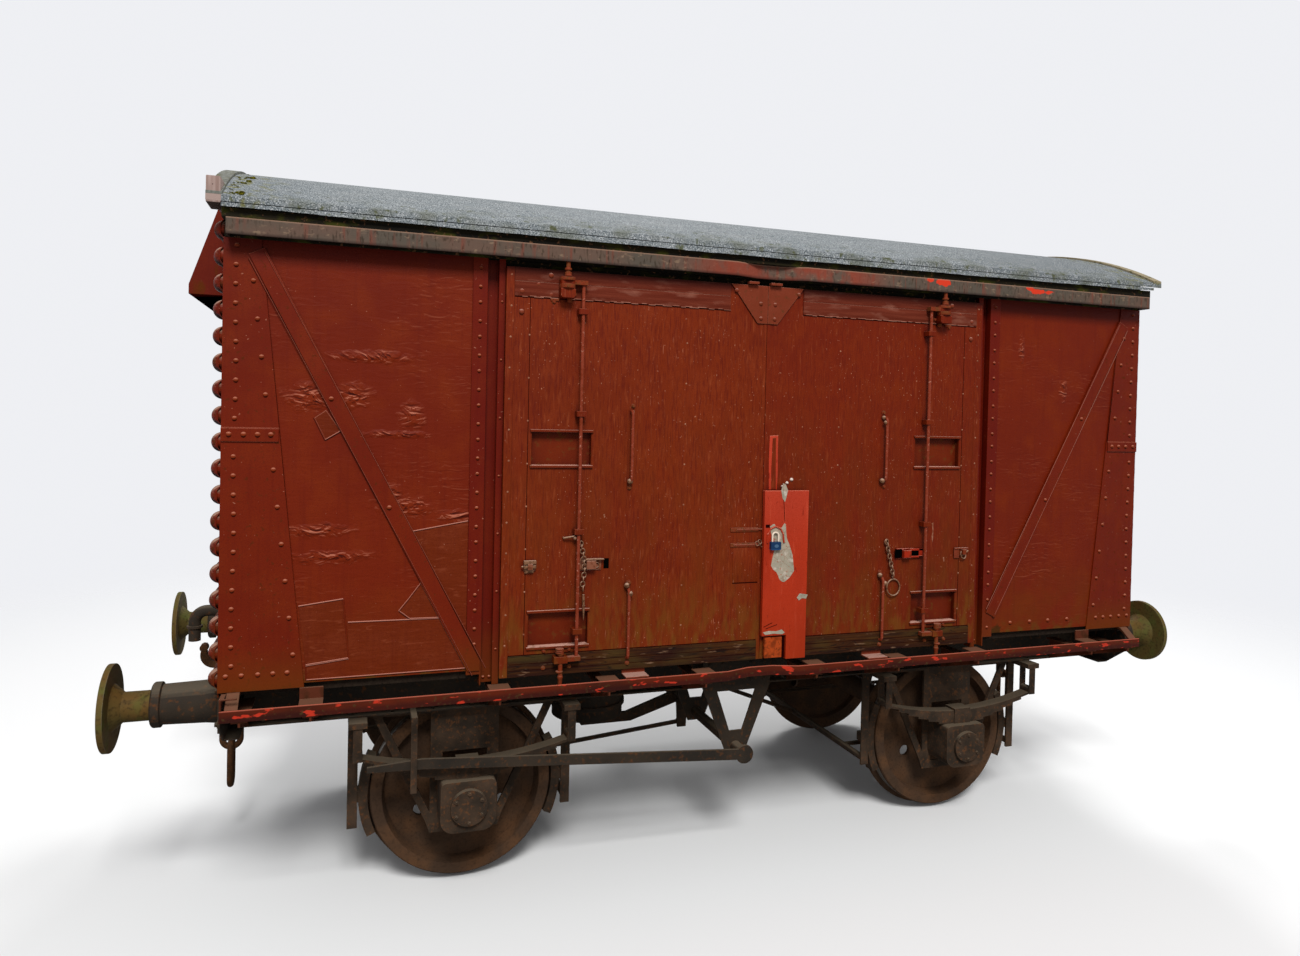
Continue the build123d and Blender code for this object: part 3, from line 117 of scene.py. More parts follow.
lamp("broad_lamp", (-3.0, -15.0, 16.0), (0.0, 0.0, 1.8), 6.0, 4100)
lamp("far_lamp", (5.0, 12.0, 14.0), (0.0, 0.0, 2.0), 6.0, 1700)

bpy.context.scene.view_settings.view_transform = "Standard"
lens = bpy.data.cameras.new("lens")
lens.sensor_width = 36.0
lens.lens = 24.0
lens.shift_y = -45 / 1300
camera = placed("camera", lens)
eye = (-2.1132, -5.4871, 2.4916)
yaw, pitch, roll = 0.331, -0.01641, 0.02244
ahead = Vector((sin(yaw) * cos(pitch), cos(yaw) * cos(pitch), sin(pitch)))
level = Vector((cos(yaw), -sin(yaw), 0.0))
upright = level.cross(ahead)
right = cos(roll) * level + sin(roll) * upright
top = cos(roll) * upright - sin(roll) * level
turn = Matrix((right, top, -ahead)).transposed().to_4x4()
camera.matrix_world = Matrix.Translation(eye) @ turn
bpy.context.scene.camera = camera


# The underframe: solebars, headstocks and the beams between them, rolled steel channels riveted
# together and painted black, now dull with dust and rust.

class Finish:
    """A paint or a bare surface, built up in layers that follow the metres of the object."""

    def __init__(self, name, colour, rough, metal=0.0, gloss=0.12):
        self.made = bpy.data.materials.new(name)
        self.made.use_nodes = True
        self.tree = self.made.node_tree
        self.shader = self.tree.nodes["Principled BSDF"]
        fill(self.tree, self.shader, {"Metallic": metal, "Specular IOR Level": gloss})
        self.place = self.add("TexCoord", {}).outputs["Object"]
        self.axes = self.add("SeparateXYZ", {0: self.place}).outputs
        self.colour = self.coat(colour)
        self.rough = rough
        self.height = 0.0

    def coat(self, colour):
        """The colour less the sheen that a pale sky lays over it, so that it looks as written."""
        return [max(part - 0.009, 0.0012) for part in tint(*colour)[:3]] + [1.0]

    def add(self, kind, inputs, **settings):
        return added(self.tree, kind, inputs, **settings)

    def sum(self, operation, first, second=0.0):
        return self.add("Math", {0: first, 1: second}, operation=operation).outputs[0]

    def grain(self, scale, detail, stretch=(1, 1, 1), warp=0.0, above=0.0):
        """Noise with so many blotches a metre; a stretch below 1 draws it out along that axis."""
        shift = (0, 0, above * stretch[2])
        where = self.add("Mapping", {"Vector": self.place, "Scale": stretch, "Location": shift}).outputs[0]
        inputs = {"Vector": where, "Scale": scale, "Detail": detail, "Distortion": warp}
        return self.add("TexNoise", inputs).outputs[0]

    def slope(self, *crumple):
        """How far a crumpled face leans out a few millimetres up: above 0 it looks down."""
        return self.sum("SUBTRACT", self.grain(*crumple, above=0.004), self.grain(*crumple))

    def part(self, value, low, high):
        """How far a value has come from low to high, kept between 0 and 1."""
        return self.add("MapRange", {"Value": value, "From Min": low, "From Max": high}).outputs[0]

    def fade(self, axis, start, end):
        """1 past start along an axis, fading to 0 at end."""
        return self.part(self.axes["XYZ".index(axis)], end, start)

    def away(self, axis, middle=0.0):
        """How far along an axis from a middle, either way."""
        return self.sum("ABSOLUTE", self.sum("SUBTRACT", self.axes["XYZ".index(axis)], middle))

    def spot(self, x, z, wide, high, ragged, soft=0.25):
        """A ragged patch of the side, about a place in X and Z, that fades at its rim."""
        across = self.sum("DIVIDE", self.away("X", x), wide)
        up = self.sum("DIVIDE", self.away("Z", z), high)
        squares = [self.sum("MULTIPLY", reach, reach) for reach in (across, up)]
        far = self.sum("SQRT", self.sum("ADD", *squares))
        rough_edge = self.sum("MULTIPLY", self.sum("SUBTRACT", self.grain(22, 3), 0.5), 2 * ragged)
        return self.part(self.sum("ADD", far, rough_edge), 1.0, 1.0 - soft)

    def lines(self, scale, width, stretch=(1, 1, 1), warp=0.6):
        """Thin wandering lines where noise crosses its middle value."""
        off = self.sum("ABSOLUTE", self.sum("SUBTRACT", self.grain(scale, 2, stretch, warp), 0.5))
        return self.part(off, width, 0.0)

    def rubbed(self, radius, colour, amount, rough=None):
        """A coat on the sharp edges of a piece, where paint rubs off."""
        soft = self.add("Bevel", {"Radius": radius}, samples=3).outputs[0]
        true = self.add("NewGeometry", {}).outputs["Normal"]
        same = self.add("VectorMath", {0: soft, 1: true}, operation="DOT_PRODUCT").outputs["Value"]
        edge = self.part(self.sum("SUBTRACT", 1.0, same), 0.02, 0.25)
        return self.mottle((30, 3), 0.35, 0.6, colour, amount, rough, edge)

    def shaded_and_grimed(self, reach, colour, amount, low=0.75, high=0.35):
        """A darker coat in the corners and at the foot of raised pieces, where they see little of the sky:
        painted shade, with the dirt that gathers there.
        """
        open_sky = self.add("AmbientOcclusion", {"Distance": reach}, samples=4).outputs["AO"]
        return self.layer(self.part(open_sky, low, high), colour, amount)

    def edges(self, radius, pale, dark, amount=0.7):
        """A painted highlight on the upper edges of a piece and painted shade on its lower edges."""
        soft = self.add("Bevel", {"Radius": radius}, samples=4).outputs[0]
        true = self.add("NewGeometry", {}).outputs["Normal"]
        lean = self.add("VectorMath", {0: soft, 1: true}, operation="SUBTRACT").outputs[0]
        up = self.add("SeparateXYZ", {0: lean}).outputs[2]
        self.layer(self.part(up, 0.06, 0.30), pale, amount)
        return self.layer(self.part(up, -0.06, -0.30), dark, amount)

    def faces(self, low, high, colour, amount, rough=None):
        """A coat on the faces that look up, or down where low and high are below 0."""
        true = self.add("NewGeometry", {}).outputs["True Normal"]
        up = self.add("SeparateXYZ", {0: true}).outputs[2]
        return self.layer(self.part(up, low, high), colour, amount, rough)

    def band(self, axis, start, end, colour, amount, rough=None):
        """A coat that is whole past start along an axis and has faded out at end."""
        return self.layer(self.fade(axis, start, end), colour, amount, rough)

    def layer(self, mask, colour, amount=1.0, rough=None):
        """A coat over what is there, where the mask is 1."""
        cover = self.sum("MULTIPLY", mask, amount) if amount != 1.0 else mask
        mix = self.add("Mix", {0: cover, 6: self.colour, 7: self.coat(colour)}, data_type="RGBA")
        self.colour = mix.outputs[2]
        if rough is not None:
            self.rough = self.add("Mix", {0: cover, 2: self.rough, 3: rough}, data_type="FLOAT").outputs[0]
        return self

    def mottle(self, grain, low, high, colour, amount=1.0, rough=None, within=None):
        """A coat in the blotches where a grain passes from low to high, and only within a mask."""
        blotches = self.part(self.grain(*grain), low, high)
        if within is not None:
            blotches = self.sum("MULTIPLY", within, blotches)
        return self.layer(blotches, colour, amount, rough)

    def lift(self, grain, metres, within=None):
        """Raises the surface by a grain of so many metres, and only within a mask."""
        rise = self.sum("MULTIPLY", self.grain(*grain), metres)
        if within is not None:
            rise = self.sum("MULTIPLY", rise, within)
        self.height = self.sum("ADD", rise, self.height)
        return self

    def done(self):
        """Joins the layers to the shader."""
        fill(self.tree, self.shader, {"Base Color": self.colour, "Roughness": self.rough})
        if isinstance(self.height, bpy.types.NodeSocket):
            bump = self.add("Bump", {"Height": self.height, "Distance": 1.0, "Strength": 1.0})
            fill(self.tree, self.shader, {"Normal": bump.outputs[0]})
        return self


same_point = 0.00002


def own_shading(mesh):
    """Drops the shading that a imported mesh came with, which a new shape wouldn't fit."""
    if "custom_normal" in mesh.attributes:
        mesh.attributes.remove(mesh.attributes["custom_normal"])


def dress(finish, *names, ease=0.0):
    """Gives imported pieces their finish, with sharp corners eased by so many metres."""
    for name in names:
        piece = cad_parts[name]
        piece.data.materials.clear()
        piece.data.materials.append(finish.made)
        if ease:
            own_shading(piece.data)
            piece.data.shade_smooth()
            weld = piece.modifiers.new("weld", "WELD")
            weld.merge_threshold = same_point
            flat = piece.modifiers.new("flat", "DECIMATE")
            flat.decimate_type = "DISSOLVE"
            flat.angle_limit = radians(1)
            corner = piece.modifiers.new("corner", "BEVEL")
            corner.width = ease
            corner.segments = 2
            corner.limit_method = "ANGLE"
            corner.angle_limit = radians(38)
            corner.harden_normals = True


frame_black = Finish("frame_black", (46, 42, 38), 0.72)
frame_black.mottle((3.5, 5), 0.42, 0.72, (66, 56, 47), 0.8, 0.85)
frame_black.mottle((38, 5), 0.56, 0.72, (96, 62, 40), 0.75, 0.92)
frame_black.faces(0.5, 0.8, (104, 94, 80), 0.55, 0.95)
frame_black.rubbed(0.006, (112, 84, 64), 0.6)
frame_black.lift((60, 5), 0.0016)
frame_black.lift((420, 2), 0.0004).done()
dress(frame_black, "solebars", "headstocks", "underframe_crossbars", "underframe_longitudinals", ease=0.003)


def fitted(name, shape, finish, body="van"):
    """Makes a finished shape into a piece that rides on a body."""
    mesh = bpy.data.meshes.new(name)
    shape.to_mesh(mesh)
    shape.free()
    mesh.materials.append(finish.made)
    mesh.shade_smooth()
    mesh.set_sharp_from_angle(angle=radians(42))
    piece = placed(name, mesh)
    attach(piece, body)
    return piece


def aimed(place, facing, wide, high, spin):
    """Puts a shape made along +Z at a place, looking along facing, with its size and its spin."""
    turn = Vector((0, 0, 1)).rotation_difference(Vector(facing)).to_matrix().to_4x4()
    sized = Matrix.Diagonal((wide, wide, high, 1))
    return Matrix.Translation(place) @ turn @ Matrix.Rotation(spin, 4, "Z") @ sized


def whole(shape):
    return shape.verts[:] + shape.edges[:] + shape.faces[:]


def corners(parts):
    """The vertices among the parts of a shape."""
    return [part for part in parts if isinstance(part, bmesh.types.BMVert)]


def rivet_heads(places, sides=8):
    """Snap heads. Each place is a point, the way it faces, the radius and the height."""
    shape = bmesh.new()
    bmesh.ops.create_uvsphere(shape, u_segments=sides, v_segments=6, radius=1)
    bmesh.ops.bisect_plane(
        shape, geom=whole(shape), plane_co=(0, 0, 0), plane_no=(0, 0, -1), clear_outer=True,
    )
    return repeated(shape, places)


def bolt_heads(places):
    """Hexagon heads on round washers."""
    shape = bmesh.new()
    bmesh.ops.create_cone(
        shape, cap_ends=True, segments=12, radius1=1.0, radius2=1.0, depth=0.3,
        matrix=Matrix.Translation((0, 0, 0.15)),
    )
    bmesh.ops.create_cone(
        shape, cap_ends=True, segments=6, radius1=0.72, radius2=0.66, depth=0.75,
        matrix=Matrix.Translation((0, 0, 0.62)),
    )
    return repeated(shape, places)


def repeated(shape, places):
    """Copies of one small shape at each place, each turned a little on from the last."""
    seed = whole(shape)
    first = shape.verts[:]
    for step, (point, facing, wide, high) in enumerate(places):
        points = corners(bmesh.ops.duplicate(shape, geom=seed)["geom"])
        bmesh.ops.transform(shape, verts=points, matrix=aimed(point, facing, wide, high, 2.4 * step))
    bmesh.ops.delete(shape, geom=first, context="VERTS")
    return shape


def all_round(places):
    """The places on one side or end, and the same turned half round for the other."""
    turned = []
    for (x, y, z), (fx, fy, fz), wide, high in places:
        turned.append(((-x, -y, z), (-fx, -fy, fz), wide, high))
    return places + turned


solebar_face, end_face = -0.959, 2.667
outward, endward = (0, -1, 0), (1, 0, 0)
frame_rivets = []
for step in range(26):
    for z in (1.0, 1.165):
        frame_rivets.append(((-2.5 + step * 0.2, solebar_face, z), outward, 0.011, 0.007))
for y in (-1.08, -0.95, -0.60, -0.43, -0.27, 0.27, 0.43, 0.60, 0.95, 1.08):
    for z in (1.045, 1.165):
        frame_rivets.append(((end_face, y, z), endward, 0.012, 0.008))
fitted("underframe_rivets", rivet_heads(all_round(frame_rivets)), frame_black)


# The floor: planks laid across the frame and bolted down, bare wood greyed with dust from below and
# dark at their outer ends.

def timber(name, colour, dark, along):
    """Weathered boards with their grain along an axis."""
    wood = Finish(name, colour, 0.85)
    stretch = {"x": (0.05, 1, 1), "y": (1, 0.05, 1), "z": (1, 1, 0.05)}[along]
    wood.mottle((60, 6, stretch), 0.35, 0.62, dark, 0.8)
    wood.mottle((6, 4, stretch), 0.4, 0.7, dark, 0.5)
    wood.lift((150, 4, stretch), 0.0012)
    return wood


floor_timber = timber("floor_timber", (112, 98, 78), (70, 58, 44), "y")
floor_timber.layer(floor_timber.part(floor_timber.away("Y"), 1.02, 1.12), (32, 27, 22), 0.9).done()
dress(floor_timber, "floor_planks")


# The running gear: axleguards cut from plate and riveted behind the solebars, cast axleboxes for
# roller bearings, and leaf springs under a steel buckle, all thick with brake dust.

gear_black = Finish("gear_black", (52, 45, 39), 0.8)
gear_black.mottle((9, 5), 0.4, 0.7, (78, 62, 50), 0.8)
gear_black.mottle((55, 4), 0.55, 0.7, (104, 68, 44), 0.6, 0.9)
gear_black.faces(0.5, 0.8, (112, 100, 84), 0.6, 0.95)
gear_black.rubbed(0.005, (122, 96, 74), 0.5)
gear_black.lift((90, 5), 0.0016).done()
dress(gear_black, "axleguards", "spring_hangers", ease=0.002)
dress(gear_black, "axleboxes", "leaf_springs", ease=0.003)

wheel_steel = Finish("wheel_steel", (74, 58, 47), 0.78, 0.2)
wheel_steel.mottle((7, 5), 0.4, 0.7, (98, 70, 50), 0.8)
wheel_steel.mottle((70, 4), 0.5, 0.75, (54, 44, 37), 0.6, 0.9)
wheel_steel.lift((80, 5), 0.0012).done()
dress(wheel_steel, "wheels_a", "wheels_b", "axle_a", "axle_b")

axle_x, axle_height = 1.524, 0.50425


def tread_band(x):
    """The bright rings that rolling keeps clean on the treads of the two wheels of an axle."""
    shape = bmesh.new()
    for side in (-1, 1):
        rim = ((side * 0.731, 0.4762), (side * 0.760, 0.4752), (side * 0.785, 0.4744))
        line = [shape.verts.new((x, y, axle_height + radius)) for y, radius in rim]
        runs = [shape.edges.new(pair) for pair in zip(line, line[1:])]
        bmesh.ops.spin(
            shape, geom=line + runs, cent=(x, 0, axle_height), axis=(0, 1, 0),
            angle=2 * pi, steps=96, use_merge=True,
        )
    bmesh.ops.recalc_face_normals(shape, faces=shape.faces[:])
    return shape


bright_steel = Finish("bright_steel", (128, 124, 118), 0.34, 0.9)
bright_steel.mottle((40, 4), 0.5, 0.7, (112, 84, 62), 0.7, 0.6).done()
for axle, x in (("a", axle_x), ("b", -axle_x)):
    fitted("tread_band_" + axle, tread_band(x), bright_steel, "wheelset_" + axle)

cover_face, guard_face = -1.099, -0.8826
bolt_circle = 0.074
box_bolts = []
for x in (-axle_x, axle_x):
    for step in range(6):
        angle = radians(30 + 60 * step)
        place = (x + bolt_circle * cos(angle), cover_face, axle_height + bolt_circle * sin(angle))
        box_bolts.append((place, outward, 0.011, 0.010))
    for off in (-0.44, -0.36, -0.28, 0.28, 0.36, 0.44):
        box_bolts.append(((x + off, guard_face, 1.02), outward, 0.012, 0.009))
fitted("axlebox_bolts", bolt_heads(all_round(box_bolts)), gear_black)


# The brake gear: cast blocks on forged hangers, round rods and beams, a cross shaft, the vacuum
# cylinder and a long hand lever each side.

dress(gear_black, "brake_shoes", "brake_hangers", "brake_shaft", "handbrake_guides", ease=0.002)
dress(frame_black, "brake_v_hangers", "handbrake_levers", ease=0.002)
dress(gear_black, "brake_rods")
dress(frame_black, "vacuum_cylinder")

vee_face = -0.971
vee_rivets = []
for x in (-0.17, -0.09, 0.09, 0.17):
    for z in (1.0, 1.10, 1.165):
        vee_rivets.append(((x, vee_face, z), outward, 0.012, 0.008))
fitted("brake_rivets", rivet_heads(all_round(vee_rivets)), frame_black)


# Buffers: cast barrels bolted to the headstocks, painted black, and forged heads whose faces are
# brown with old grease and green with damp.

buffer_rust = Finish("buffer_rust", (90, 78, 46), 0.7, 0.1)
buffer_rust.mottle((5, 5), 0.4, 0.65, (96, 70, 40), 0.8)
buffer_rust.mottle((12, 5), 0.5, 0.7, (86, 92, 48), 0.7, 0.85)
buffer_rust.mottle((60, 4), 0.52, 0.72, (52, 42, 30), 0.7)
buffer_rust.rubbed(0.006, (140, 136, 122), 0.6)
buffer_rust.lift((70, 5), 0.0012).done()
dress(frame_black, "buffer_barrels", ease=0.002)
dress(buffer_rust, "buffer_heads", ease=0.002)

buffer_y, buffer_height = 0.8635, 1.082
base_face, hook_face = 2.689, 2.679
foot_bolts = []
for y in (-buffer_y, buffer_y):
    for across in (-0.128, 0.128):
        for up in (-0.078, 0.078):
            foot_bolts.append(((base_face, y + across, buffer_height + up), endward, 0.018, 0.016))
for y in (-0.12, 0.12):
    for up in (-0.06, 0.06):
        foot_bolts.append(((hook_face, y, buffer_height + up), endward, 0.017, 0.015))
fitted("buffer_bolts", bolt_heads(all_round(foot_bolts)), frame_black)


# Drawgear: a forged hook through each headstock and a coupling of three round-bar links, bare
# steel gone dark brown.

link_rust = Finish("link_rust", (88, 62, 44), 0.75, 0.25)
link_rust.mottle((25, 5), 0.4, 0.7, (60, 46, 36), 0.8)
link_rust.mottle((120, 3), 0.55, 0.7, (128, 78, 44), 0.6)
link_rust.lift((200, 4), 0.0006).done()
dress(link_rust, "drawhooks", ease=0.003)
dress(link_rust, "couplings")


# The brake pipe: steel tube that runs under the floor and comes up at each end to a swan neck, held
# in clamps and painted black like the frame.

dress(frame_black, "brake_pipe")
dress(frame_black, "pipe_clamps", ease=0.002)


# The ends: steel sheet pressed into level corrugations that end in domes at the corners, and riveted
# hoods over the vents. The paint is that of the sides but duller, dusty above and rusty below.

def bauxite(name, colour, rough=0.5):
    """The van's red-brown paint, faded, mottled and streaked by rain."""
    paint = Finish(name, colour, rough, gloss=0.08)
    dark = tuple(int(part * 0.88) for part in colour)
    pale = (min(colour[0] + 8, 255), colour[1] + 7, colour[2] + 8)
    paint.mottle((1.4, 4), 0.40, 0.70, dark, 0.7)
    paint.mottle((8, 5), 0.45, 0.75, pale, 0.6, rough + 0.12)
    paint.mottle((5, 4, (9, 9, 0.6)), 0.52, 0.74, dark, 0.5)
    paint.mottle((110, 3), 0.56, 0.70, dark, 0.45)
    paint.mottle((240, 3), 0.50, 0.62, dark, 0.5)
    paint.mottle((75, 2), 0.735, 0.76, (158, 104, 84), 0.7)
    paint.lift((170, 3), 0.0005)
    return paint


end_red = bauxite("end_red", (98, 36, 20), 0.6)
end_red.faces(0.1, 0.6, (116, 72, 56), 0.55, 0.85)
# Darker on the faces that look down: painted shade.
end_red.faces(-0.1, -0.6, (66, 24, 14), 0.6)
end_red.mottle((14, 5, (1, 1, 0.3)), 0.56, 0.68, (86, 50, 26), 0.7, 0.9)
# Darker in the hollows of the corrugations, where little sky is seen: painted shade with some dirt.
end_red.shaded_and_grimed(0.05, (50, 24, 14), 0.7)
end_red.band("Z", 1.25, 1.7, (78, 48, 26), 0.4)
end_red.lift((4, 3), 0.004).done()

side_face, dome_run = 1.219, 0.05
pressed = bmesh.new()
pressed.from_mesh(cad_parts["end_sheets"].data)
bmesh.ops.remove_doubles(pressed, verts=pressed.verts[:], dist=same_point)
for side in (-1, 1):
    for step in (1.0, 0.8, 0.6, 0.4):
        bmesh.ops.bisect_plane(
            pressed, geom=whole(pressed),
            plane_co=(0, side * (side_face - dome_run * step), 0), plane_no=(0, side, 0),
        )
for point in pressed.verts:
    inboard = (side_face - abs(point.co.y)) / dome_run
    proud = abs(point.co.x) - end_face
    if proud > 0 and inboard < 1:
        point.co.x = copysign(end_face + proud * sin(pi / 2 * inboard), point.co.x)
pressed_ends = fitted("pressed_end_sheets", pressed, end_red)
own_shading(pressed_ends.data)
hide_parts("end_sheets")
dress(end_red, "end_ventilator_hoods", ease=0.002)

crest_end_red = bauxite("crest_end_red", (106, 38, 20), 0.4)
crest_end_red.mottle((30, 4), 0.46, 0.60, (66, 46, 30), 0.6, 0.9)
# A painted highlight on the tops of the domes and painted shade under them.
crest_end_red.faces(0.25, 0.7, (166, 134, 116), 0.7, 0.6)
crest_end_red.faces(-0.1, -0.6, (36, 16, 12), 0.9).done()
first_crest, crest_pitch = 1.273, 0.119
crest_ends = bmesh.new()
for row in range(18):
    middle = (end_face + 0.0005, -1.154, first_crest + crest_pitch * row)
    crest = bmesh.ops.create_uvsphere(crest_ends, u_segments=24, v_segments=16, radius=1)["verts"]
    bmesh.ops.scale(crest_ends, vec=(0.0460, dome_run, 0.0450), verts=crest)
    bmesh.ops.translate(crest_ends, vec=middle, verts=crest)
bmesh.ops.bisect_plane(
    crest_ends, geom=whole(crest_ends), plane_co=(end_face - 0.003, 0, 0), plane_no=(-1, 0, 0),
    clear_outer=True,
)


def to_four_corners(shape):
    """The shape of one corner, copied to all four."""
    for mirror in ((-1, 1, 1), (1, -1, 1)):
        copy = bmesh.ops.duplicate(shape, geom=whole(shape))["geom"]
        faces = [part for part in copy if isinstance(part, bmesh.types.BMFace)]
        bmesh.ops.scale(shape, vec=mirror, verts=corners(copy))
        bmesh.ops.reverse_faces(shape, faces=faces)
    return shape


fitted("corrugation_ends", to_four_corners(crest_ends), crest_end_red)

hood_x, hood_side, hood_foot = 2.705, 0.468, 3.12
hood_rivets = []
for side in (-1, 1):
    for step in range(6):
        place = (hood_x, side * hood_side, hood_foot + step * 0.105)
        hood_rivets.append((place, (0, side, 0), 0.010, 0.006))
fitted("hood_rivets", rivet_heads(all_round(hood_rivets)), end_red)


# The sides: plywood panels between the door pillars and the corners, painted red-brown. The face
# has crinkled in level lines, and in a few places the paint has lifted in flakes. Crinkles and flakes
# get a painted highlight where they lean up and painted shade where they lean down.

panel_red = bauxite("panel_red", (106, 39, 17))
flaked = None
for x, z, wide, high in (
    (-2.300, 2.555, 0.115, 0.085), (-2.115, 2.570, 0.105, 0.070), (-1.870, 2.045, 0.16, 0.065),
    (-2.255, 1.942, 0.18, 0.036), (-2.190, 1.815, 0.22, 0.036), (-1.905, 2.390, 0.20, 0.022),
    (-1.845, 2.480, 0.07, 0.085), (-1.640, 2.000, 0.11, 0.036), (-2.02, 2.755, 0.22, 0.035),
    (1.74, 2.97, 0.03, 0.10), (2.07, 2.74, 0.035, 0.09), (-1.93, 2.12, 0.06, 0.04),
):
    place = panel_red.spot(x, z, wide, high, 0.6, 0.8)
    flaked = place if flaked is None else panel_red.sum("MAXIMUM", flaked, place)
crumpled = (15, 4, (0.6, 1, 1.4), 1.6)
crinkled = (26, 4, (0.35, 1, 1.3), 1.2)
crumple = panel_red.slope(*crumpled)
creased = panel_red.slope(*crinkled)
loose = panel_red.part(panel_red.grain(2.6, 4, (0.6, 1, 1)), 0.50, 0.68)
# Painted highlight on the sides of the crinkles that lean up, painted shade on those that lean down.
for low, high, colour, amount in ((-0.05, -0.14, (146, 82, 60), 0.45), (0.05, 0.14, (66, 22, 8), 0.4)):
    panel_red.layer(panel_red.sum("MULTIPLY", loose, panel_red.part(creased, low, high)), colour, amount)
panel_red.layer(flaked, (120, 48, 27), 0.35, 0.5)
# Painted shade where the flakes lean down, and a painted highlight where they lean up.
for low, high, colour, amount, rough in (
    (0.025, 0.055, (50, 17, 6), 0.9, None),
    (-0.034, -0.070, (172, 104, 82), 0.85, 0.55),
):
    lit = panel_red.sum("MULTIPLY", flaked, panel_red.part(crumple, low, high))
    panel_red.layer(lit, colour, amount, rough)
panel_red.lift(crumpled, 0.010, flaked)
panel_red.lift(crinkled, 0.0014)
panel_red.lift((2.5, 3), 0.006)
# Darker in the corners and at the foot of the steel on it: painted shade with some dirt.
panel_red.shaded_and_grimed(0.014, (56, 20, 10), 0.4)
panel_red.mottle((6, 4), 0.35, 0.62, (96, 56, 24), 0.45, 0.75, panel_red.fade("Z", 1.24, 1.7))
panel_red.mottle((20, 4), 0.48, 0.62, (82, 70, 34), 0.6, 0.9, panel_red.fade("Z", 1.22, 1.32))
panel_red.layer(panel_red.spot(1.610, 1.240, 0.055, 0.050, 0.9), (62, 44, 28), 0.85, 0.9)
# Darker along the top, under the top rail: a painted shadow.
panel_red.band("Z", 3.22, 3.14, (62, 24, 16), 0.6).done()
dress(panel_red, "side_panels")


# Steel on the sides: tapered corner sheets with a joint plate, the pressed diagonal braces and the
# door pillars, all riveted on and painted, with a painted highlight on their upper edges and painted
# shade on their lower edges.

steel_red = bauxite("steel_red", (104, 38, 17), 0.46)
# A painted highlight on the upper edges and painted shade on the lower.
steel_red.edges(0.005, (168, 98, 76), (44, 14, 6), 0.85)
steel_red.mottle((42, 4), 0.62, 0.70, (84, 40, 20), 0.8, 0.85)
steel_red.band("Z", 1.21, 1.42, (96, 56, 26), 0.55, 0.75)
# Darker along the top, under the top rail: a painted shadow.
steel_red.band("Z", 3.22, 3.14, (62, 24, 16), 0.6)
steel_red.lift((5, 2), 0.005).done()
dress(steel_red, "corner_sheets", "diagonal_braces", ease=0.002)

pillar_red = bauxite("pillar_red", (98, 34, 15), 0.42)
# A painted highlight on the upper edges and painted shade on the lower, and painted shade with some dirt
# where the pillars meet the doors and panels.
pillar_red.edges(0.004, (150, 84, 62), (44, 14, 8), 0.7)
pillar_red.shaded_and_grimed(0.05, (46, 16, 8), 0.7)
pillar_red.band("Z", 1.19, 1.50, (104, 58, 30), 0.5, 0.7).done()
dress(pillar_red, "door_pillars", ease=0.002)

foot, face = 1.218, -side_face


def at(x, z, d):
    """A place on the front side: along the van, up from the foot of its sheets, and out, in mm."""
    return (x / 1000, face - d / 1000, foot + z / 1000)


def head(x, z, d, wide, high):
    """A rivet's or a bolt's head on the front side: its place, its radius and its height, in mm."""
    return at(x, z, d), outward, wide / 1000, high / 1000


snap = (11.5, 8.5)
side_rivets = []
for hand in (-1, 1):
    for step in range(24):
        up = 62 + step * 83.6 + (4 if step % 2 else -4)
        side_rivets.append(head(hand * 1533, up, 0, 9.5, 7.5))
    for step in range(23):
        up = 118 + step * 85.8
        if not 1125 < up < 1197:
            side_rivets.append(head(hand * (2612 + 3 * sin(7 * step)), up, 0, *snap))
    for step in range(11):
        up = 154 + step * 169.8
        if not 1100 < up < 1220:
            side_rivets.append(head(hand * (2338 + up * 0.1105), up, 0, *snap))
    for x in (2378, 2438, 2501, 2569, 2634):
        side_rivets.append(head(hand * x, 73, 0, *snap))
    for x in (2461, 2516, 2574, 2634):
        side_rivets.append(head(hand * x, 1162, 8, 12.5, 9))
    for x, up in ((1942, 826), (2207, 1332)):
        side_rivets.append(head(hand * x, up, 8, *snap))
    for step in range(7):
        side_rivets.append(head(hand * 1428, 120 + step * 285, 0, 6.5, 5))
    for x in (1450, 1480):
        side_rivets.append(head(hand * x, -28, -48, 8, 8))
for x in (1713, 1861, 2002, 2152):
    side_rivets.append(head(x, 74, -7, 12.5, 8.5))
rivet_red = bauxite("rivet_red", (118, 50, 30), 0.4)
# A painted highlight on the tops of the heads and painted shadow under them.
rivet_red.faces(0.2, 0.75, (176, 116, 94), 0.8, 0.5)
rivet_red.faces(-0.1, -0.7, (52, 18, 10), 0.9).done()
fitted("side_rivets", rivet_heads(all_round(side_rivets), 10), rivet_red)


# The left panel was mended with sheets of thin steel, nailed on over the plywood and painted. The
# paint is thick along their edges and the braces', in beads with a painted highlight on top and
# painted shade beneath.

def rod(shape, start, end, radius, tip=None, sides=8):
    """A round bar on the front side, from one place to another, in mm; a tip makes it taper."""
    start, end = Vector(at(*start)), Vector(at(*end))
    run = end - start
    turn = run.to_track_quat("Z", "Y").to_matrix().to_4x4()
    bmesh.ops.create_cone(
        shape, cap_ends=True, segments=sides, radius1=radius / 1000, radius2=(tip or radius) / 1000,
        depth=run.length, matrix=Matrix.Translation((start + end) / 2) @ turn,
    )


def bead(shape, course, d, radius):
    """Round bars end to end along a course, so far out, in mm."""
    for start, end in zip(course, course[1:]):
        rod(shape, (*start, d), (*end, d), radius)


patch_red = bauxite("patch_red", (100, 42, 24), 0.5)
patch_red.mottle((30, 3, (0.4, 1, 1.8), 0.8), 0.60, 0.70, (124, 62, 42), 0.5)
# A painted highlight on the upper edges and painted shade on the lower.
patch_red.edges(0.006, (176, 112, 92), (50, 18, 8), 0.8)
patch_red.lift((26, 3, (0.4, 1, 1.6)), 0.003).done()
dress(patch_red, "panel_patches")

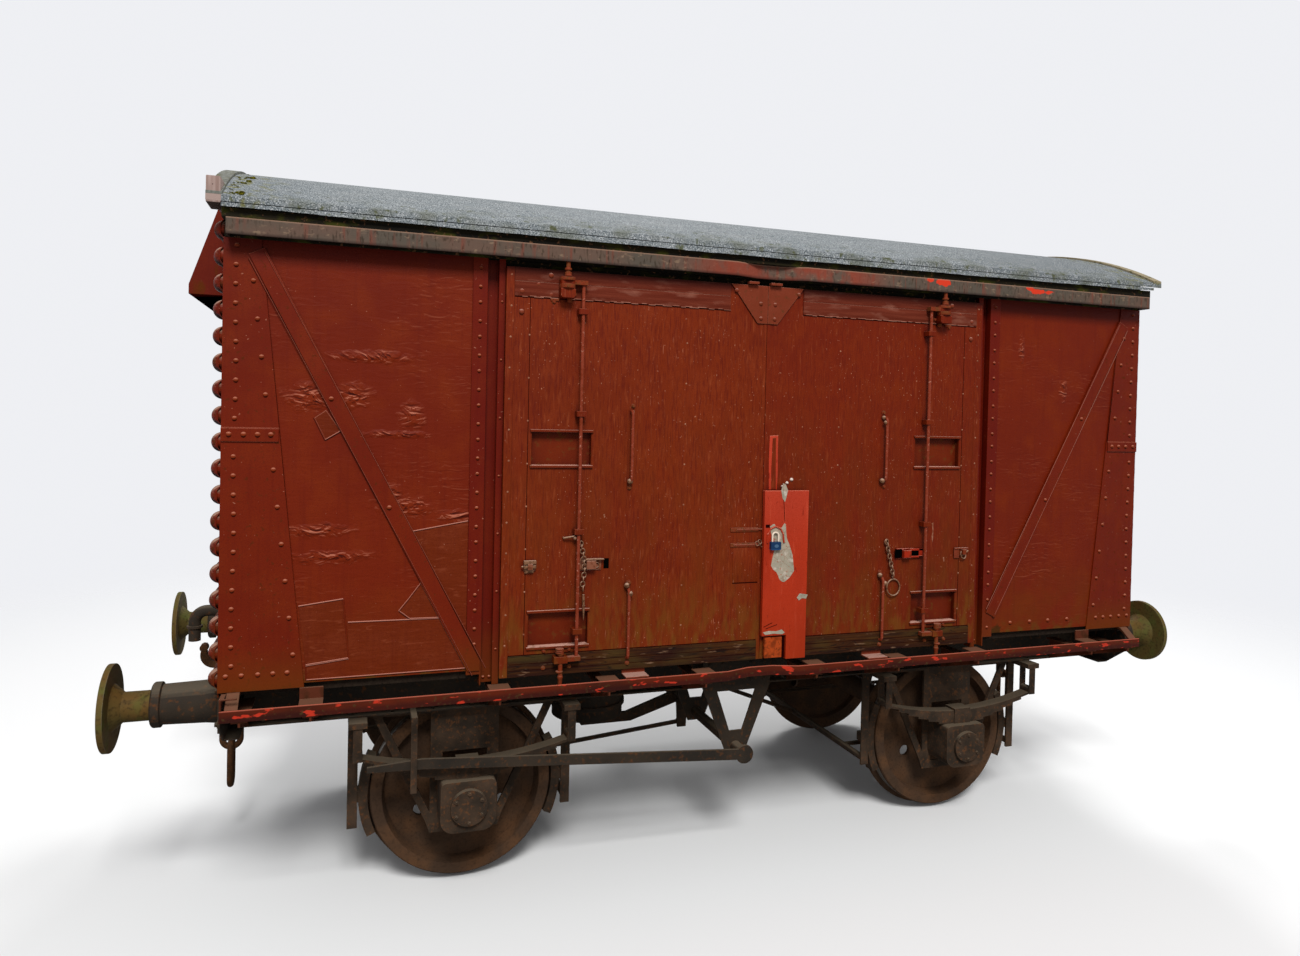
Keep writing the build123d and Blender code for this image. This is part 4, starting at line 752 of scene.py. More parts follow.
patches = (
    ((-2334, 375), (-2141, 400), (-2113, 122), (-2299, 102)),
    ((-2118, 289), (-1680, 286)),
    ((-1572, 35), (-2297, 32), (-2298, 97), (-2113, 118)),
    ((-1889, 331), (-1848, 382), (-1789, 461)),
    ((-1889, 331), (-1839, 292), (-1700, 290)),
    ((-1850, 707), (-1572, 755)),
    ((-2280, 1243), (-2231, 1142), (-2162, 1185)),
)
sheet_edges = bmesh.new()
for outline in patches:
    bead(sheet_edges, outline, -5.5, 3.8)
for hand, top_x, top, low_x, low in ((-1, 2531, 1988, 1509, -4), (1, 2530, 1940, 1553, 133)):
    length = hypot(top_x - low_x, top - low)
    off_x, off_z = (top - low) / length * 36.5, (top_x - low_x) / length * 36.5
    for side in (-1, 1):
        start = (hand * (top_x + side * off_x), top - side * off_z - 20)
        end = (hand * (low_x + side * off_x), low - side * off_z + 20)
        bead(sheet_edges, (start, end), 7.6, 2.1)
edge_red = bauxite("edge_red", (104, 40, 20), 0.5)
# A painted highlight on the tops of the beads and painted shade under them.
edge_red.faces(0.15, 0.6, (190, 132, 114), 0.85, 0.6)
edge_red.faces(0.05, -0.3, (44, 16, 8), 0.85).done()
fitted("patch_edges", sheet_edges, edge_red)


# The doors: four plywood leaves in steel frames, painted the same red-brown but stained brown and
# green by rain, with the grain showing and small chips down to the wood.

def door_paint(name, colour, lower, streaks):
    """Paint on plywood: its grain shows, rain has stained it, and it is chipped to the wood."""
    paint = bauxite(name, colour, 0.52)
    paint.mottle((150, 4, (1, 1, 0.10)), 0.48, 0.66, (82, 30, 13), streaks)
    paint.mottle((70, 4, (1, 1, 0.14)), 0.58, 0.72, (134, 66, 40), 0.8 * streaks, 0.7)
    paint.mottle((11, 6, (1, 1, 0.3)), 0.38, 0.66, lower, 0.65, 0.75, paint.fade("Z", 1.2, 2.8))
    paint.mottle((24, 5, (1, 1, 0.3)), 0.45, 0.62, (104, 70, 32), 0.6, 0.85, paint.fade("Z", 1.25, 1.7))
    chipped = paint.part(paint.grain(5, 2), 0.42, 0.58)
    paint.mottle((120, 2, (1, 1, 0.6)), 0.70, 0.74, (170, 118, 92), 0.75, 0.85, chipped)
    scratched = paint.part(paint.grain(4, 3), 0.50, 0.60)
    paint.mottle((200, 2, (1, 1, 0.09), 0.4), 0.68, 0.74, (158, 98, 74), 0.6, 0.7, scratched)
    # Darker in the corners and recesses: painted shade with some dirt; then a painted highlight on the
    # upper edges and painted shade on the lower.
    paint.shaded_and_grimed(0.045, (54, 20, 10), 0.8)
    paint.edges(0.004, (164, 100, 78), (48, 18, 8), 0.6)
    paint.lift((110, 4, (1, 1, 0.12)), 0.0009)
    paint.lift((13, 3, (1, 1, 0.5)), 0.0035)
    # Darker along the top, under the top rail: a painted shadow.
    paint.band("Z", 3.22, 3.16, (50, 22, 18), 0.7)
    return paint.done()


door_red_left = door_paint("door_red_left", (111, 44, 23), (102, 50, 25), 0.6)
door_red_right = door_paint("door_red_right", (107, 40, 17), (92, 48, 22), 0.45)
dress(door_red_left, "door_front_left", "door_back_left", ease=0.002)
dress(door_red_right, "door_front_right", "door_back_right", ease=0.002)

bare_board = timber("top_board_wood", (112, 54, 40), (84, 36, 27), "x")
bare_board.mottle((24, 5, (0.25, 1, 1)), 0.54, 0.70, (140, 92, 76), 0.55)
bare_board.mottle((240, 3), 0.50, 0.62, (70, 30, 22), 0.4)
# A painted highlight on the upper edges and painted shade on the lower, and a painted shadow along the top,
# under the top rail.
bare_board.edges(0.003, (176, 124, 104), (44, 20, 14), 0.8)
bare_board.band("Z", 3.215, 3.16, (44, 26, 24), 0.75).done()
dress(bare_board, "door_top_boards", ease=0.002)


def slab(shape, x, z, d):
    """A flat plate on the front side, from its two limits each way in mm."""
    points = bmesh.ops.create_cube(shape, size=1)["verts"]
    bmesh.ops.scale(shape, vec=[abs(b - a) / 1000 for a, b in (x, d, z)], verts=points)
    bmesh.ops.translate(shape, vec=at(sum(x) / 2, sum(z) / 2, sum(d) / 2), verts=points)


def slabs(*plates):
    """A new shape of flat plates, each with its limits along, up and out."""
    shape = bmesh.new()
    for plate in plates:
        slab(shape, *plate)
    return shape


def eased(shape, width):
    """The shape with all its sharp edges eased."""
    sharp = [edge for edge in shape.edges if edge.is_manifold and edge.calc_face_angle() > 0.6]
    bmesh.ops.bevel(
        shape, geom=sharp, offset=width, offset_type="OFFSET", segments=2, profile=0.5,
        affect="EDGES", material=-1, clamp_overlap=True,
    )
    return shape


def both_sides(shape):
    """The front side's pieces, and the same turned half round for the back."""
    copy = bmesh.ops.duplicate(shape, geom=whole(shape))["geom"]
    bmesh.ops.transform(shape, matrix=Matrix.Rotation(pi, 4, "Z"), verts=corners(copy))
    return shape


planks = slabs(*(((hand * 219, hand * 1372), (1862, 1935.5), (24.5, 31)) for hand in (-1, 1)))
fitted("door_top_planks", both_sides(eased(planks, 0.0012)), bare_board)

seams = slabs(((-3.5, 2.5), (60, 1862), (24, 25.8)), ((-5.5, 3.5), (1010, 1330), (24, 25.9)))
for hand in (-1, 1):
    for x, z, d in (
        ((1291, 1294), (85, 1862), (24, 25.5)), ((219, 1372), (1857, 1861), (24, 25.6)),
        ((24, 1372), (85.2, 89), (24, 25.6)), ((24, 1370), (12, 14.5), (31, 32.3)),
        ((24, 1370), (44, 46.5), (31, 32.3)),
    ):
        slab(seams, (hand * x[0], hand * x[1]), z, d)
seam_dark = Finish("seam_dark", (42, 20, 12), 0.9, gloss=0.0).done()
fitted("door_seams", both_sides(seams), seam_dark)

cracks = bmesh.new()
for hand in (-1, 1):
    for step in range(27):
        start = 224 + 42 * step + 9 * sin(7 * step + hand)
        low = 1861.5 + 2.2 * sin(3.1 * step + hand)
        wide = 40 + 14 * sin(5 * step)
        slab(cracks, (hand * start, hand * min(start + wide, 1372)), (low, low + 3), (24, 31.6))
split_wood = timber("split_wood", (176, 124, 106), (112, 62, 48), "x").done()
fitted("top_board_cracks", both_sides(cracks), split_wood)

low_board = timber("bottom_board_wood", (70, 44, 27), (38, 25, 15), "x")
low_board.mottle((8, 5, (0.4, 1, 1)), 0.50, 0.66, (76, 66, 38), 0.4, 0.95)
low_board.layer(low_board.lines(12, 0.022, (0.22, 1, 2.2), 1.0), (20, 13, 8), 0.8)
low_board.mottle((60, 5, (0.2, 1, 1)), 0.62, 0.72, (140, 108, 84), 0.6).done()
dress(low_board, "door_bottom_boards", ease=0.003)

worn_red = bauxite("worn_red", (116, 54, 38), 0.55)
worn_red.faces(0.3, 0.8, (176, 138, 124), 0.8, 0.7)
worn_red.rubbed(0.004, (158, 108, 88), 0.7, 0.7)
worn_red.mottle((40, 4), 0.58, 0.70, (88, 52, 34), 0.7, 0.85).done()
dress(worn_red, "door_gussets", ease=0.0012)

pan_red = bauxite("pan_red", (106, 42, 17), 0.5)
# Darker deep in the pans, where little sky is seen: painted shade with some dirt; a painted highlight on
# their upper edges and on the lips that look up, and painted shade on their lower edges.
pan_red.shaded_and_grimed(0.11, (42, 14, 7), 0.7, 0.85, 0.25)
pan_red.edges(0.005, (160, 104, 84), (44, 16, 8), 0.8)
pan_red.faces(0.3, 0.8, (196, 152, 136), 0.9, 0.7)
pan_red.mottle((30, 4), 0.58, 0.70, (92, 56, 32), 0.7, 0.85).done()
dress(pan_red, "door_step_pans", ease=0.0012)

door_bolts = []
for hand in (-1, 1):
    for x, z, d in (
        (1193, 1972, 32), (1255, 1925, 25), (1336, 1886, 28), (1336, 1785, 28), (1190, 1878, 25),
    ):
        door_bolts.append(head(hand * x, z, d, 13.5, 8.5))
    for x, z in ((186, 1968), (43, 1905), (41, 1826)):
        door_bolts.append(head(hand * x, z, 34, 11.5, 7.5))
fitted("door_bolts", rivet_heads(all_round(door_bolts), 10), worn_red)

door_screws = []
for hand in (-1, 1):
    for step in range(13):
        door_screws.append(head(hand * (1388 + 2 * sin(5 * step)), 140 + step * 152, 28, 5.5, 2))
    for step in range(9):
        for x in (1294, 460):
            door_screws.append(head(hand * x, 190 + step * 212, 25, 5, 2))
screw_pale = Finish("screw_pale", (150, 104, 82), 0.6)
screw_pale.mottle((60, 2), 0.4, 0.6, (108, 58, 40), 0.8).done()
fitted("door_screws", rivet_heads(all_round(door_screws)), screw_pale)


# The locking gear: an upright rod on each door turns a crank at its top and bottom, whose pegs
# run in the rails. Bars, blocks and pegs are forged steel, painted over, rubbed and rusty.

rod_red = bauxite("rod_red", (128, 58, 42), 0.45)
rod_red.mottle((40, 4), 0.5, 0.68, (104, 44, 28), 0.7)
rod_red.mottle((90, 3), 0.62, 0.70, (176, 122, 104), 0.7).done()
dress(rod_red, "lock_rods")
rusty_red = bauxite("rusty_red", (118, 52, 34), 0.65)
rusty_red.mottle((45, 5), 0.44, 0.62, (100, 60, 38), 0.85, 0.85)
rusty_red.mottle((110, 3), 0.6, 0.7, (66, 42, 30), 0.8)
rusty_red.faces(0.3, 0.8, (164, 112, 94), 0.5, 0.7)
rusty_red.lift((160, 4), 0.0008).done()
dress(rusty_red, "lock_rod_cranks", "hasp_bars", ease=0.0015)
dress(door_red_right, "lock_rod_brackets", ease=0.0015)
dress(rod_red, "door_grips")
dress(worn_red, "door_foot_shelves", ease=0.0015)

latch_paint = bauxite("latch_paint", (116, 50, 32), 0.6)
latch_paint.layer(latch_paint.part(latch_paint.away("X", 0.92), 0.08, 0.07), (150, 44, 30), 0.9)
latch_paint.band("X", -0.1, 0.0, (134, 92, 72), 0.6)
latch_paint.mottle((50, 4), 0.5, 0.64, (88, 44, 28), 0.7, 0.8)
# A painted highlight on the upper edges and painted shade on the lower.
latch_paint.edges(0.004, (206, 168, 148), (42, 16, 10), 0.85).done()
dress(latch_paint, "door_latches", ease=0.0015)

gear_bolts = []
for hand in (-1, 1):
    for x, z, d in (
        (1192, 103, 25), (1195, 19, 32), (1062, 104, 25), (1062, 18, 32),
        (1176, 1845, 25), (1072, 1886, 31),
    ):
        gear_bolts.append(head(hand * x, z, d, 11.5, 10))
    for x, z, d in ((750, 1338, 25), (762, 918, 25), (756, 14, 32), (752, 428, 25)):
        gear_bolts.append(head(hand * x, z, d, 12.5, 11))
fitted("lock_gear_bolts", bolt_heads(all_round(gear_bolts)), rusty_red)

crank_trim = bmesh.new()
for hand in (-1, 1):
    for x, low, high, d, radius, sides in (
        (1121, 98, 104, 71, 20.5, 16), (1121, 107, 113, 71, 20.5, 16), (1121, 116, 122, 71, 20.5, 16),
        (1121, 2, 9, 71, 18, 16), (1116, 1998, 2008, 71, 17.5, 16), (1116, 1968, 1974, 71, 20, 16),
        (1116, 1948, 1962, 59, 40, 24), (1116, 1910, 1930, 59, 39.5, 24), (1100, 1842, 1863, 44, 13, 6),
    ):
        rod(crank_trim, (hand * x, low, d), (hand * x, high, d), radius, sides=sides)
    slab(crank_trim, (hand * 1150, hand * 1192), (1848, 1868), (25, 31))
fitted("crank_collars", both_sides(eased(crank_trim, 0.0012)), rusty_red)


def round_link(thick):
    """A bar bent into a level ring of radius 1."""
    shape = bmesh.new()
    turn = Matrix.Translation((1, 0, 0)) @ Matrix.Rotation(pi / 2, 4, "X")
    section = bmesh.ops.create_circle(shape, segments=8, radius=thick, matrix=turn)["verts"]
    runs = list({edge for point in section for edge in point.link_edges})
    bmesh.ops.spin(
        shape, geom=section + runs, cent=(0, 0, 0), axis=(0, 0, 1), angle=2 * pi, steps=18, use_merge=True,
    )
    bmesh.ops.recalc_face_normals(shape, faces=shape.faces[:])
    return shape


def chain(course, pitch):
    """The places of a chain's links along a course in mm, each turned across the last."""
    places = []
    points = [Vector(at(*point)) for point in course]
    for start, end in zip(points, points[1:]):
        count = max(1, round((end - start).length / pitch))
        for step in range(count):
            crosswise = (1, -0.25, 0) if len(places) % 2 else (0.3, -1, 0)
            places.append((start.lerp(end, step / count), crosswise, pitch * 0.62, pitch * 0.62))
    return places


chain_rust = Finish("chain_rust", (122, 88, 66), 0.6, 0.2)
chain_rust.mottle((90, 3), 0.48, 0.62, (74, 46, 32), 0.8)
chain_rust.faces(0.2, 0.8, (188, 158, 136), 0.7).done()
left_course = ((-1013, 636, 34), (-1002, 580, 46), (-995, 502, 50), (-1004, 434, 50), (-998, 388, 48))
right_course = ((786, 600, 36), (800, 540, 40), (822, 450, 42), (836, 386, 40))
links = chain(left_course, 0.021) + chain(right_course, 0.023)
rings = [
    (at(-930, 526, 36), outward, 0.013, 0.022), (at(784, 600, 32), (1, -0.4, 0), 0.014, 0.014),
    (at(-1013, 640, 30), (1, -0.4, 0), 0.012, 0.012), (at(1318, 512, 36), (0.3, -1, 0.2), 0.024, 0.024),
]
pin_ring = [(at(837, 338, 38), (0.1, -1, 0.05), 0.047, 0.047)]
for name, thick, places in (
    ("pin_chains", 0.24, links), ("lock_rings", 0.14, rings), ("pin_ring", 0.085, pin_ring),
):
    fitted(name, repeated(round_link(thick), all_round(places)), chain_rust)

knob = bmesh.new()
bmesh.ops.create_uvsphere(knob, u_segments=12, v_segments=8, radius=1)
knobs = []
for x, z, d, radius in (
    (-768, 416, 42, 14), (-752, 374, 50, 15), (-764, 950, 44, 15), (-755, 1306, 34, 11),
    (745, 411, 40, 14), (770, 366, 52, 14), (740, 950, 44, 15), (748, 1309, 34, 12),
    (752, 1282, 48, 12), (-1049, 666, 52, 9), (-1310, 530, 44, 6),
):
    knobs.append(head(x, z, d, radius, radius))
fitted("grip_knobs", repeated(knob, all_round(knobs)), chain_rust)

pins = bmesh.new()
for start, end, radius, tip in (
    ((-998, 380, 46), (-996, 322, 46), 6.5, 6.5), ((-996, 326, 46), (-995, 250, 46), 7.5, 2),
    ((-1102, 667, 40), (-1050, 676, 52), 5, 5), ((-1102, 667, 26), (-1102, 667, 42), 5.5, 5.5),
    ((-1050, 676, 52), (-1048, 660, 52), 5, 5), ((1310, 500, 26), (1350, 536, 40), 5, 5),
):
    rod(pins, start, end, radius, tip)
fitted("lock_pins", both_sides(eased(pins, 0.0008)), chain_rust)

bars = slabs(
    ((-1303, -1242), (541, 560), (30, 52)), ((-1303, -1242), (521, 536), (30, 48)),
    ((-1298, -1252), (496, 521), (30, 36)), ((-991, -893), (553, 559), (31, 50)),
)
fitted("latch_bars", both_sides(eased(bars, 0.0015)), chain_rust)

keeper = slabs(((1255, 1350), (545, 553), (30, 40)), ((1255, 1290), (492, 545), (30, 34)))
fitted("latch_keepers", both_sides(eased(keeper, 0.0015)), worn_red)

catch = slabs(
    ((905, 1031), (505, 515), (31, 40)), ((905, 1031), (545, 557), (31, 40)),
    ((905, 944), (505, 557), (31, 40)), ((1004, 1031), (505, 557), (31, 40)),
)
catch_red = bauxite("catch_red", (152, 44, 30), 0.5)
catch_red.mottle((60, 4), 0.5, 0.62, (112, 40, 26), 0.6)
# A painted highlight on the upper edges and painted shade on the lower.
catch_red.edges(0.004, (214, 120, 100), (52, 16, 10), 0.8).done()
fitted("latch_catches", both_sides(eased(catch, 0.0015)), catch_red)

# Near-black plates in the slots of the latches and catches: painted shade where the openings are.
slots = slabs(
    ((-890, -862), (505, 557), (24, 25.6)), ((845, 892), (505, 556), (36, 37.2)),
    ((944, 1004), (516, 544), (36, 37.2)),
)
slot_shade = Finish("slot_shade", (16, 12, 10), 0.9, gloss=0.0).done()
fitted("latch_slots", both_sides(slots), slot_shade)


# The door rails: pressed steel channels along the top and the bottom of the side, jogged in where
# the doors meet. The top one has weathered grey-brown, the bottom one is red with bright chips.

top_rail = Finish("top_rail", (92, 74, 64), 0.75)
top_rail.mottle((7, 5, (0.6, 1, 0.8)), 0.42, 0.60, (76, 72, 64), 0.75)
top_rail.mottle((30, 4, (1, 1, 0.08)), 0.55, 0.68, (112, 56, 44), 0.6)
top_rail.mottle((90, 4, (1, 1, 0.3)), 0.54, 0.68, (50, 42, 34), 0.7)
top_rail.mottle((60, 4, (0.5, 1, 1)), 0.60, 0.70, (130, 108, 88), 0.6)
middle = top_rail.part(top_rail.away("X", 0.10), 0.62, 0.40)
top_rail.mottle((9, 4), 0.34, 0.52, (126, 58, 44), 0.8, within=middle)
for x, z, wide, high in (
    (0.985, 3.322, 0.030, 0.022), (1.085, 3.312, 0.055, 0.022), (1.70, 3.318, 0.035, 0.016),
    (1.78, 3.305, 0.075, 0.015),
):
    top_rail.layer(top_rail.spot(x, z, wide, high, 1.4, 0.1), (196, 56, 36), 0.95, 0.4)
# A painted highlight along the top edge and painted shade along the lower edge.
top_rail.band("Z", 3.3295, 3.3225, (150, 118, 98), 0.75, 0.8)
top_rail.band("Z", 3.258, 3.272, (34, 26, 22), 0.7)
top_rail.lift((60, 5), 0.0014)
top_rail.lift((3, 2), 0.006).done()
dress(top_rail, "upper_door_rails", ease=0.002)

low_rail = Finish("low_rail", (88, 37, 26), 0.6)
low_rail.mottle((7, 5, (0.4, 1, 1)), 0.42, 0.60, (56, 32, 24), 0.75)
# Darker along the lower edge: painted shade.
low_rail.band("Z", 1.126, 1.146, (44, 26, 19), 0.65)
low_rail.mottle((26, 4, (0.4, 1, 1.2)), 0.60, 0.63, (190, 56, 40), 0.85, 0.45)
low_rail.mottle((60, 4), 0.6, 0.7, (72, 56, 36), 0.8, 0.85)
# A painted highlight along the top edge.
low_rail.band("Z", 1.1625, 1.1580, (176, 96, 76), 0.8, 0.7)
low_rail.lift((60, 5), 0.0012).done()
dress(low_rail, "lower_door_rails", ease=0.002)
bracket_rust = Finish("bracket_rust", (86, 46, 34), 0.75)
bracket_rust.mottle((18, 5), 0.44, 0.62, (62, 40, 28), 0.85)
bracket_rust.faces(0.4, 0.8, (116, 84, 66), 0.6, 0.85)
# A painted highlight on the upper edges and painted shade on the lower.
bracket_rust.edges(0.004, (150, 112, 90), (30, 18, 12), 0.6)
bracket_rust.lift((70, 4), 0.0012).done()
dress(bracket_rust, "lower_rail_brackets", ease=0.0015)

jog_trim = slabs(((-123, -65), (2006, 2019), (26, 58)), ((7, 73), (2006, 2019), (26, 58)))
fitted("jog_blocks", both_sides(eased(jog_trim, 0.0015)), worn_red)
loose = bmesh.new()
bead(loose, ((-140, 2122), (10, 2119), (142, 2117), (380, 2119)), 58, 4.5)
pale_strip = Finish("pale_strip", (206, 128, 104), 0.6)
pale_strip.mottle((20, 3), 0.5, 0.62, (120, 76, 56), 0.8).done()
fitted("loose_strip", loose, pale_strip)


# The roof: boards under mineral felt, laid along the van and folded down over the eaves, with a timber
# batten on each end. It is grey with fine grit, stained along the eaves and mossy at the corners.

felt = Finish("roof_felt", (124, 129, 131), 0.95, gloss=0.05)
felt.mottle((2.2, 5, (0.5, 1, 1)), 0.40, 0.66, (108, 114, 117), 0.8)
felt.mottle((14, 5, (0.6, 1, 1)), 0.46, 0.70, (140, 142, 142), 0.6)
felt.band("X", 3.0, 0.2, (104, 108, 110), 0.8)
felt.mottle((150, 3), 0.50, 0.57, (70, 76, 79), 0.85)
felt.mottle((190, 3), 0.56, 0.62, (182, 184, 184), 0.8)
by_eaves, by_ends = felt.away("Y"), felt.away("X")
felt.mottle((10, 5, (0.7, 1, 1)), 0.46, 0.64, (88, 90, 76), 0.6, within=felt.part(by_eaves, 1.16, 1.31))
felt.mottle((26, 4), 0.60, 0.68, (72, 74, 38), 0.7, within=felt.part(by_eaves, 1.05, 1.30))
felt.mottle((22, 4), 0.52, 0.62, (104, 100, 40), 0.7, within=felt.part(by_ends, 2.35, 2.62))
# Dark on the faces that look down, such as under the folded lips: painted shade.
felt.faces(-0.2, -0.6, (46, 38, 30), 0.95)
by_corner = felt.part(felt.sum("MULTIPLY", felt.axes[0], felt.axes[1]), 3.515, 3.519)
felt.layer(by_corner, (152, 132, 124))
felt.lift((220, 3), 0.0012)
felt.lift((7, 3, (0.4, 1, 1)), 0.005).done()
dress(felt, "roof")


def sheet(shape, outline, d, thick):
    """A flat scrap of any outline on the front side, so thick, in mm."""
    flat = shape.faces.new([shape.verts.new(at(x, z, d)) for x, z in outline])
    front = bmesh.ops.extrude_face_region(shape, geom=[flat])["geom"]
    bmesh.ops.translate(shape, vec=(0, -thick / 1000, 0), verts=corners(front))
    bmesh.ops.recalc_face_normals(shape, faces=shape.faces[:])
    return shape


lip_end, lip_top = 2666, 2171
lip = [(lip_end, lip_top), (-lip_end, lip_top)]
for x in range(-lip_end, 2700, 62):
    hang = 16 + 11 * cos(pi * x / 5400) + 1.2 * sin(0.011 * x) + 0.9 * sin(0.047 * x)
    lip.append((x, lip_top - hang))
fitted("felt_lips", both_sides(sheet(bmesh.new(), lip, 95.6, 3.8)), felt)

batten_wood = timber("batten_wood", (122, 124, 118), (88, 88, 80), "y")
batten_wood.band("X", 2.5, 2.0, (146, 132, 104), 0.8)
batten_wood.mottle((30, 4), 0.54, 0.64, (84, 82, 52), 0.7).done()
dress(batten_wood, "roof_end_battens", ease=0.0015)

grey_timber = timber("grey_timber", (166, 146, 138), (124, 100, 92), "z")
grey_timber.mottle((30, 4), 0.58, 0.68, (96, 92, 78), 0.6)
# Dark on the faces that look down: painted shade.
grey_timber.faces(-0.2, -0.6, (44, 34, 30), 0.9).done()

eave_wood = timber("eave_wood", (42, 38, 29), (26, 23, 18), "x")
eave_wood.mottle((16, 5, (0.5, 1, 1)), 0.54, 0.66, (62, 62, 30), 0.75, 0.95)
eave_wood.mottle((44, 4), 0.60, 0.70, (120, 84, 60), 0.7).done()
dress(eave_wood, "eave_boards", "cantrails", ease=0.002)

corner_blocks = slabs(((-2726, -2668), (2166, 2281), (-54, 99.6)))
nails = [head(-2699, 2243, 97.5, 5, 2.4), head(-2690, 2184, 97.5, 5, 2.4)]
fitted("roof_corner_blocks", both_sides(eased(corner_blocks, 0.003)), grey_timber)
fitted("block_nails", rivet_heads(all_round(nails)), seam_dark)

moss_green = Finish("moss_green", (70, 68, 28), 0.98, gloss=0.0)
moss_green.mottle((120, 3), 0.52, 0.66, (122, 114, 44), 0.75)
moss_green.mottle((60, 3), 0.5, 0.65, (42, 40, 22), 0.85)
moss_green.lift((200, 3), 0.003).done()


def clump(number):
    """A cushion of moss with its own lumps."""
    shape = bmesh.new()
    bmesh.ops.create_icosphere(shape, subdivisions=2, radius=1)
    for point in shape.verts:
        point.co *= 1 + 0.45 * noise.noise(point.co * 1.6 + Vector((3.1 * number, 0, 0)))
    return shape


def scattered(number, size):
    """A number from 0 to 1, as good as drawn by lot, that is the same each time."""
    value = abs(sin(number)) * size
    return value - int(value)


eave_out, roof_radius, roof_crown = 1.319, 2.728, 3.760
for kind in range(2):
    moss_places = []
    for step in range(75):
        first = scattered(12.9898 * (step + 1) + 4.1 * kind, 43758.5453)
        second = scattered(78.233 * (step + 1) + kind, 12543.123)
        if step < 34:
            size = 0.003 + 0.008 * second ** 2
            place = (-2.62 + 5.2 * first, 1.35 * size - eave_out, 3.376 + 0.012 * second)
        elif step < 52:
            size = 0.004 + 0.008 * second ** 2
            place = (-2.60 + 5.2 * first, -1.283 + 0.01 * second, 3.334)
        else:
            size = 0.005 + 0.011 * second ** 2
            across = -1.295 + 0.55 * first * first
            height = (roof_radius ** 2 - across ** 2) ** 0.5 - roof_radius + roof_crown
            side_end = -2.645 if step % 3 else 2.66
            place = (side_end + 0.07 * second, across, height)
        moss_places.append((place, (0, -0.2, 1), size, size * 0.6))
    fitted("moss_%d" % kind, repeated(clump(kind), all_round(moss_places)), moss_green)


# The red board, bolted over the meeting line of the doors with a notch at its foot round a rusty
# steel shoe. It is gloss vermilion, scratched and split, and carries what is left of a notice.

board_red = Finish("board_red", (164, 52, 32), 0.42)
board_red.mottle((6, 4, (1, 1, 0.3)), 0.45, 0.68, (148, 46, 30), 0.8)
board_red.band("Z", 2.10, 1.80, (168, 62, 46), 0.6)
board_red.mottle((60, 4, (1, 1, 0.1)), 0.58, 0.70, (182, 74, 52), 0.5)
board_red.mottle((50, 3, (1, 1, 0.4)), 0.66, 0.70, (120, 36, 22), 0.7)
board_red.mottle((240, 3), 0.50, 0.62, (136, 42, 26), 0.4)
# A painted highlight on the upper edges and painted shade on the lower.
board_red.edges(0.005, (226, 150, 124), (92, 26, 14), 0.8)
board_red.band("Z", 1.2, 1.6, (140, 48, 26), 0.6, 0.55)
board_red.lift((90, 4, (1, 1, 0.1)), 0.0008)
board_red.lift((9, 2), 0.003).done()
dress(board_red, "security_board", ease=0.0015)

notice = (
    (32, 705), (46, 716), (57, 720), (70, 704), (84, 693), (104, 700), (118, 722), (127, 716), (130, 676),
    (136, 638), (152, 604), (160, 584), (172, 548), (178, 506), (184, 460), (158, 424), (126, 401),
    (112, 404), (95, 417), (86, 440), (77, 456), (58, 470), (43, 492), (48, 520), (54, 549), (64, 590),
    (58, 640), (40, 664),
)
scraps = bmesh.new()
for outline, d, thick in (
    (notice, 57.8, 0.9),
    (((94, 899), (104, 940), (120, 934), (134, 902), (126, 862), (118, 838), (104, 856)), 57.8, 1.6),
    (((205, 312), (222, 334), (250, 330), (271, 326), (262, 304), (236, 308), (218, 296)), 57.8, 2.2),
    (((4, 132), (40, 138), (86, 134), (118, 142), (136, 124), (120, 116), (70, 122), (20, 118)), 57.9, 1.5),
):
    sheet(scraps, outline, d, thick)
notice_paper = Finish("notice_paper", (158, 146, 128), 0.85, gloss=0.05)
notice_paper.mottle((14, 4), 0.42, 0.60, (140, 138, 122), 0.8)
notice_paper.mottle((30, 4), 0.56, 0.66, (186, 174, 160), 0.8)
notice_paper.layer(notice_paper.lines(16, 0.02), (128, 98, 80), 0.6)
notice_paper.mottle((70, 3), 0.64, 0.70, (150, 82, 60), 0.6)
notice_paper.lift((16, 4), 0.006).done()
fitted("notice_scraps", scraps, notice_paper)

scrapes = bmesh.new()
for outline in (
    ((1098, 700), (1106, 660), (1100, 622), (1106, 586), (1111, 618), (1109, 704)),
    ((1183, 496), (1188, 470), (1194, 474), (1191, 500)),
    ((-897, 780), (-892, 764), (-886, 768), (-890, 784)),
):
    sheet(scrapes, outline, 24.8, 0.6)
fitted("door_scrapes", scrapes, screw_pale)

board_face = 58
board_marks = slabs(
    ((128, 141), (-14, 114), (32, 46)), ((2, 141), (113, 119), (33, 45)),
    ((-1, 7), (899, 1262), (24.5, 26.5)), ((6, 30), (700, 716), (56, 60)),
    ((-169, -4), (398, 402), (24.4, 27)),
)
for crack in (((102, 937), (110, 860), (121, 730)), ((8, 160), (60, 182)), ((20, 150), (88, 170))):
    bead(board_marks, crack, board_face, 1.6)
fitted("board_splits", board_marks, seam_dark)

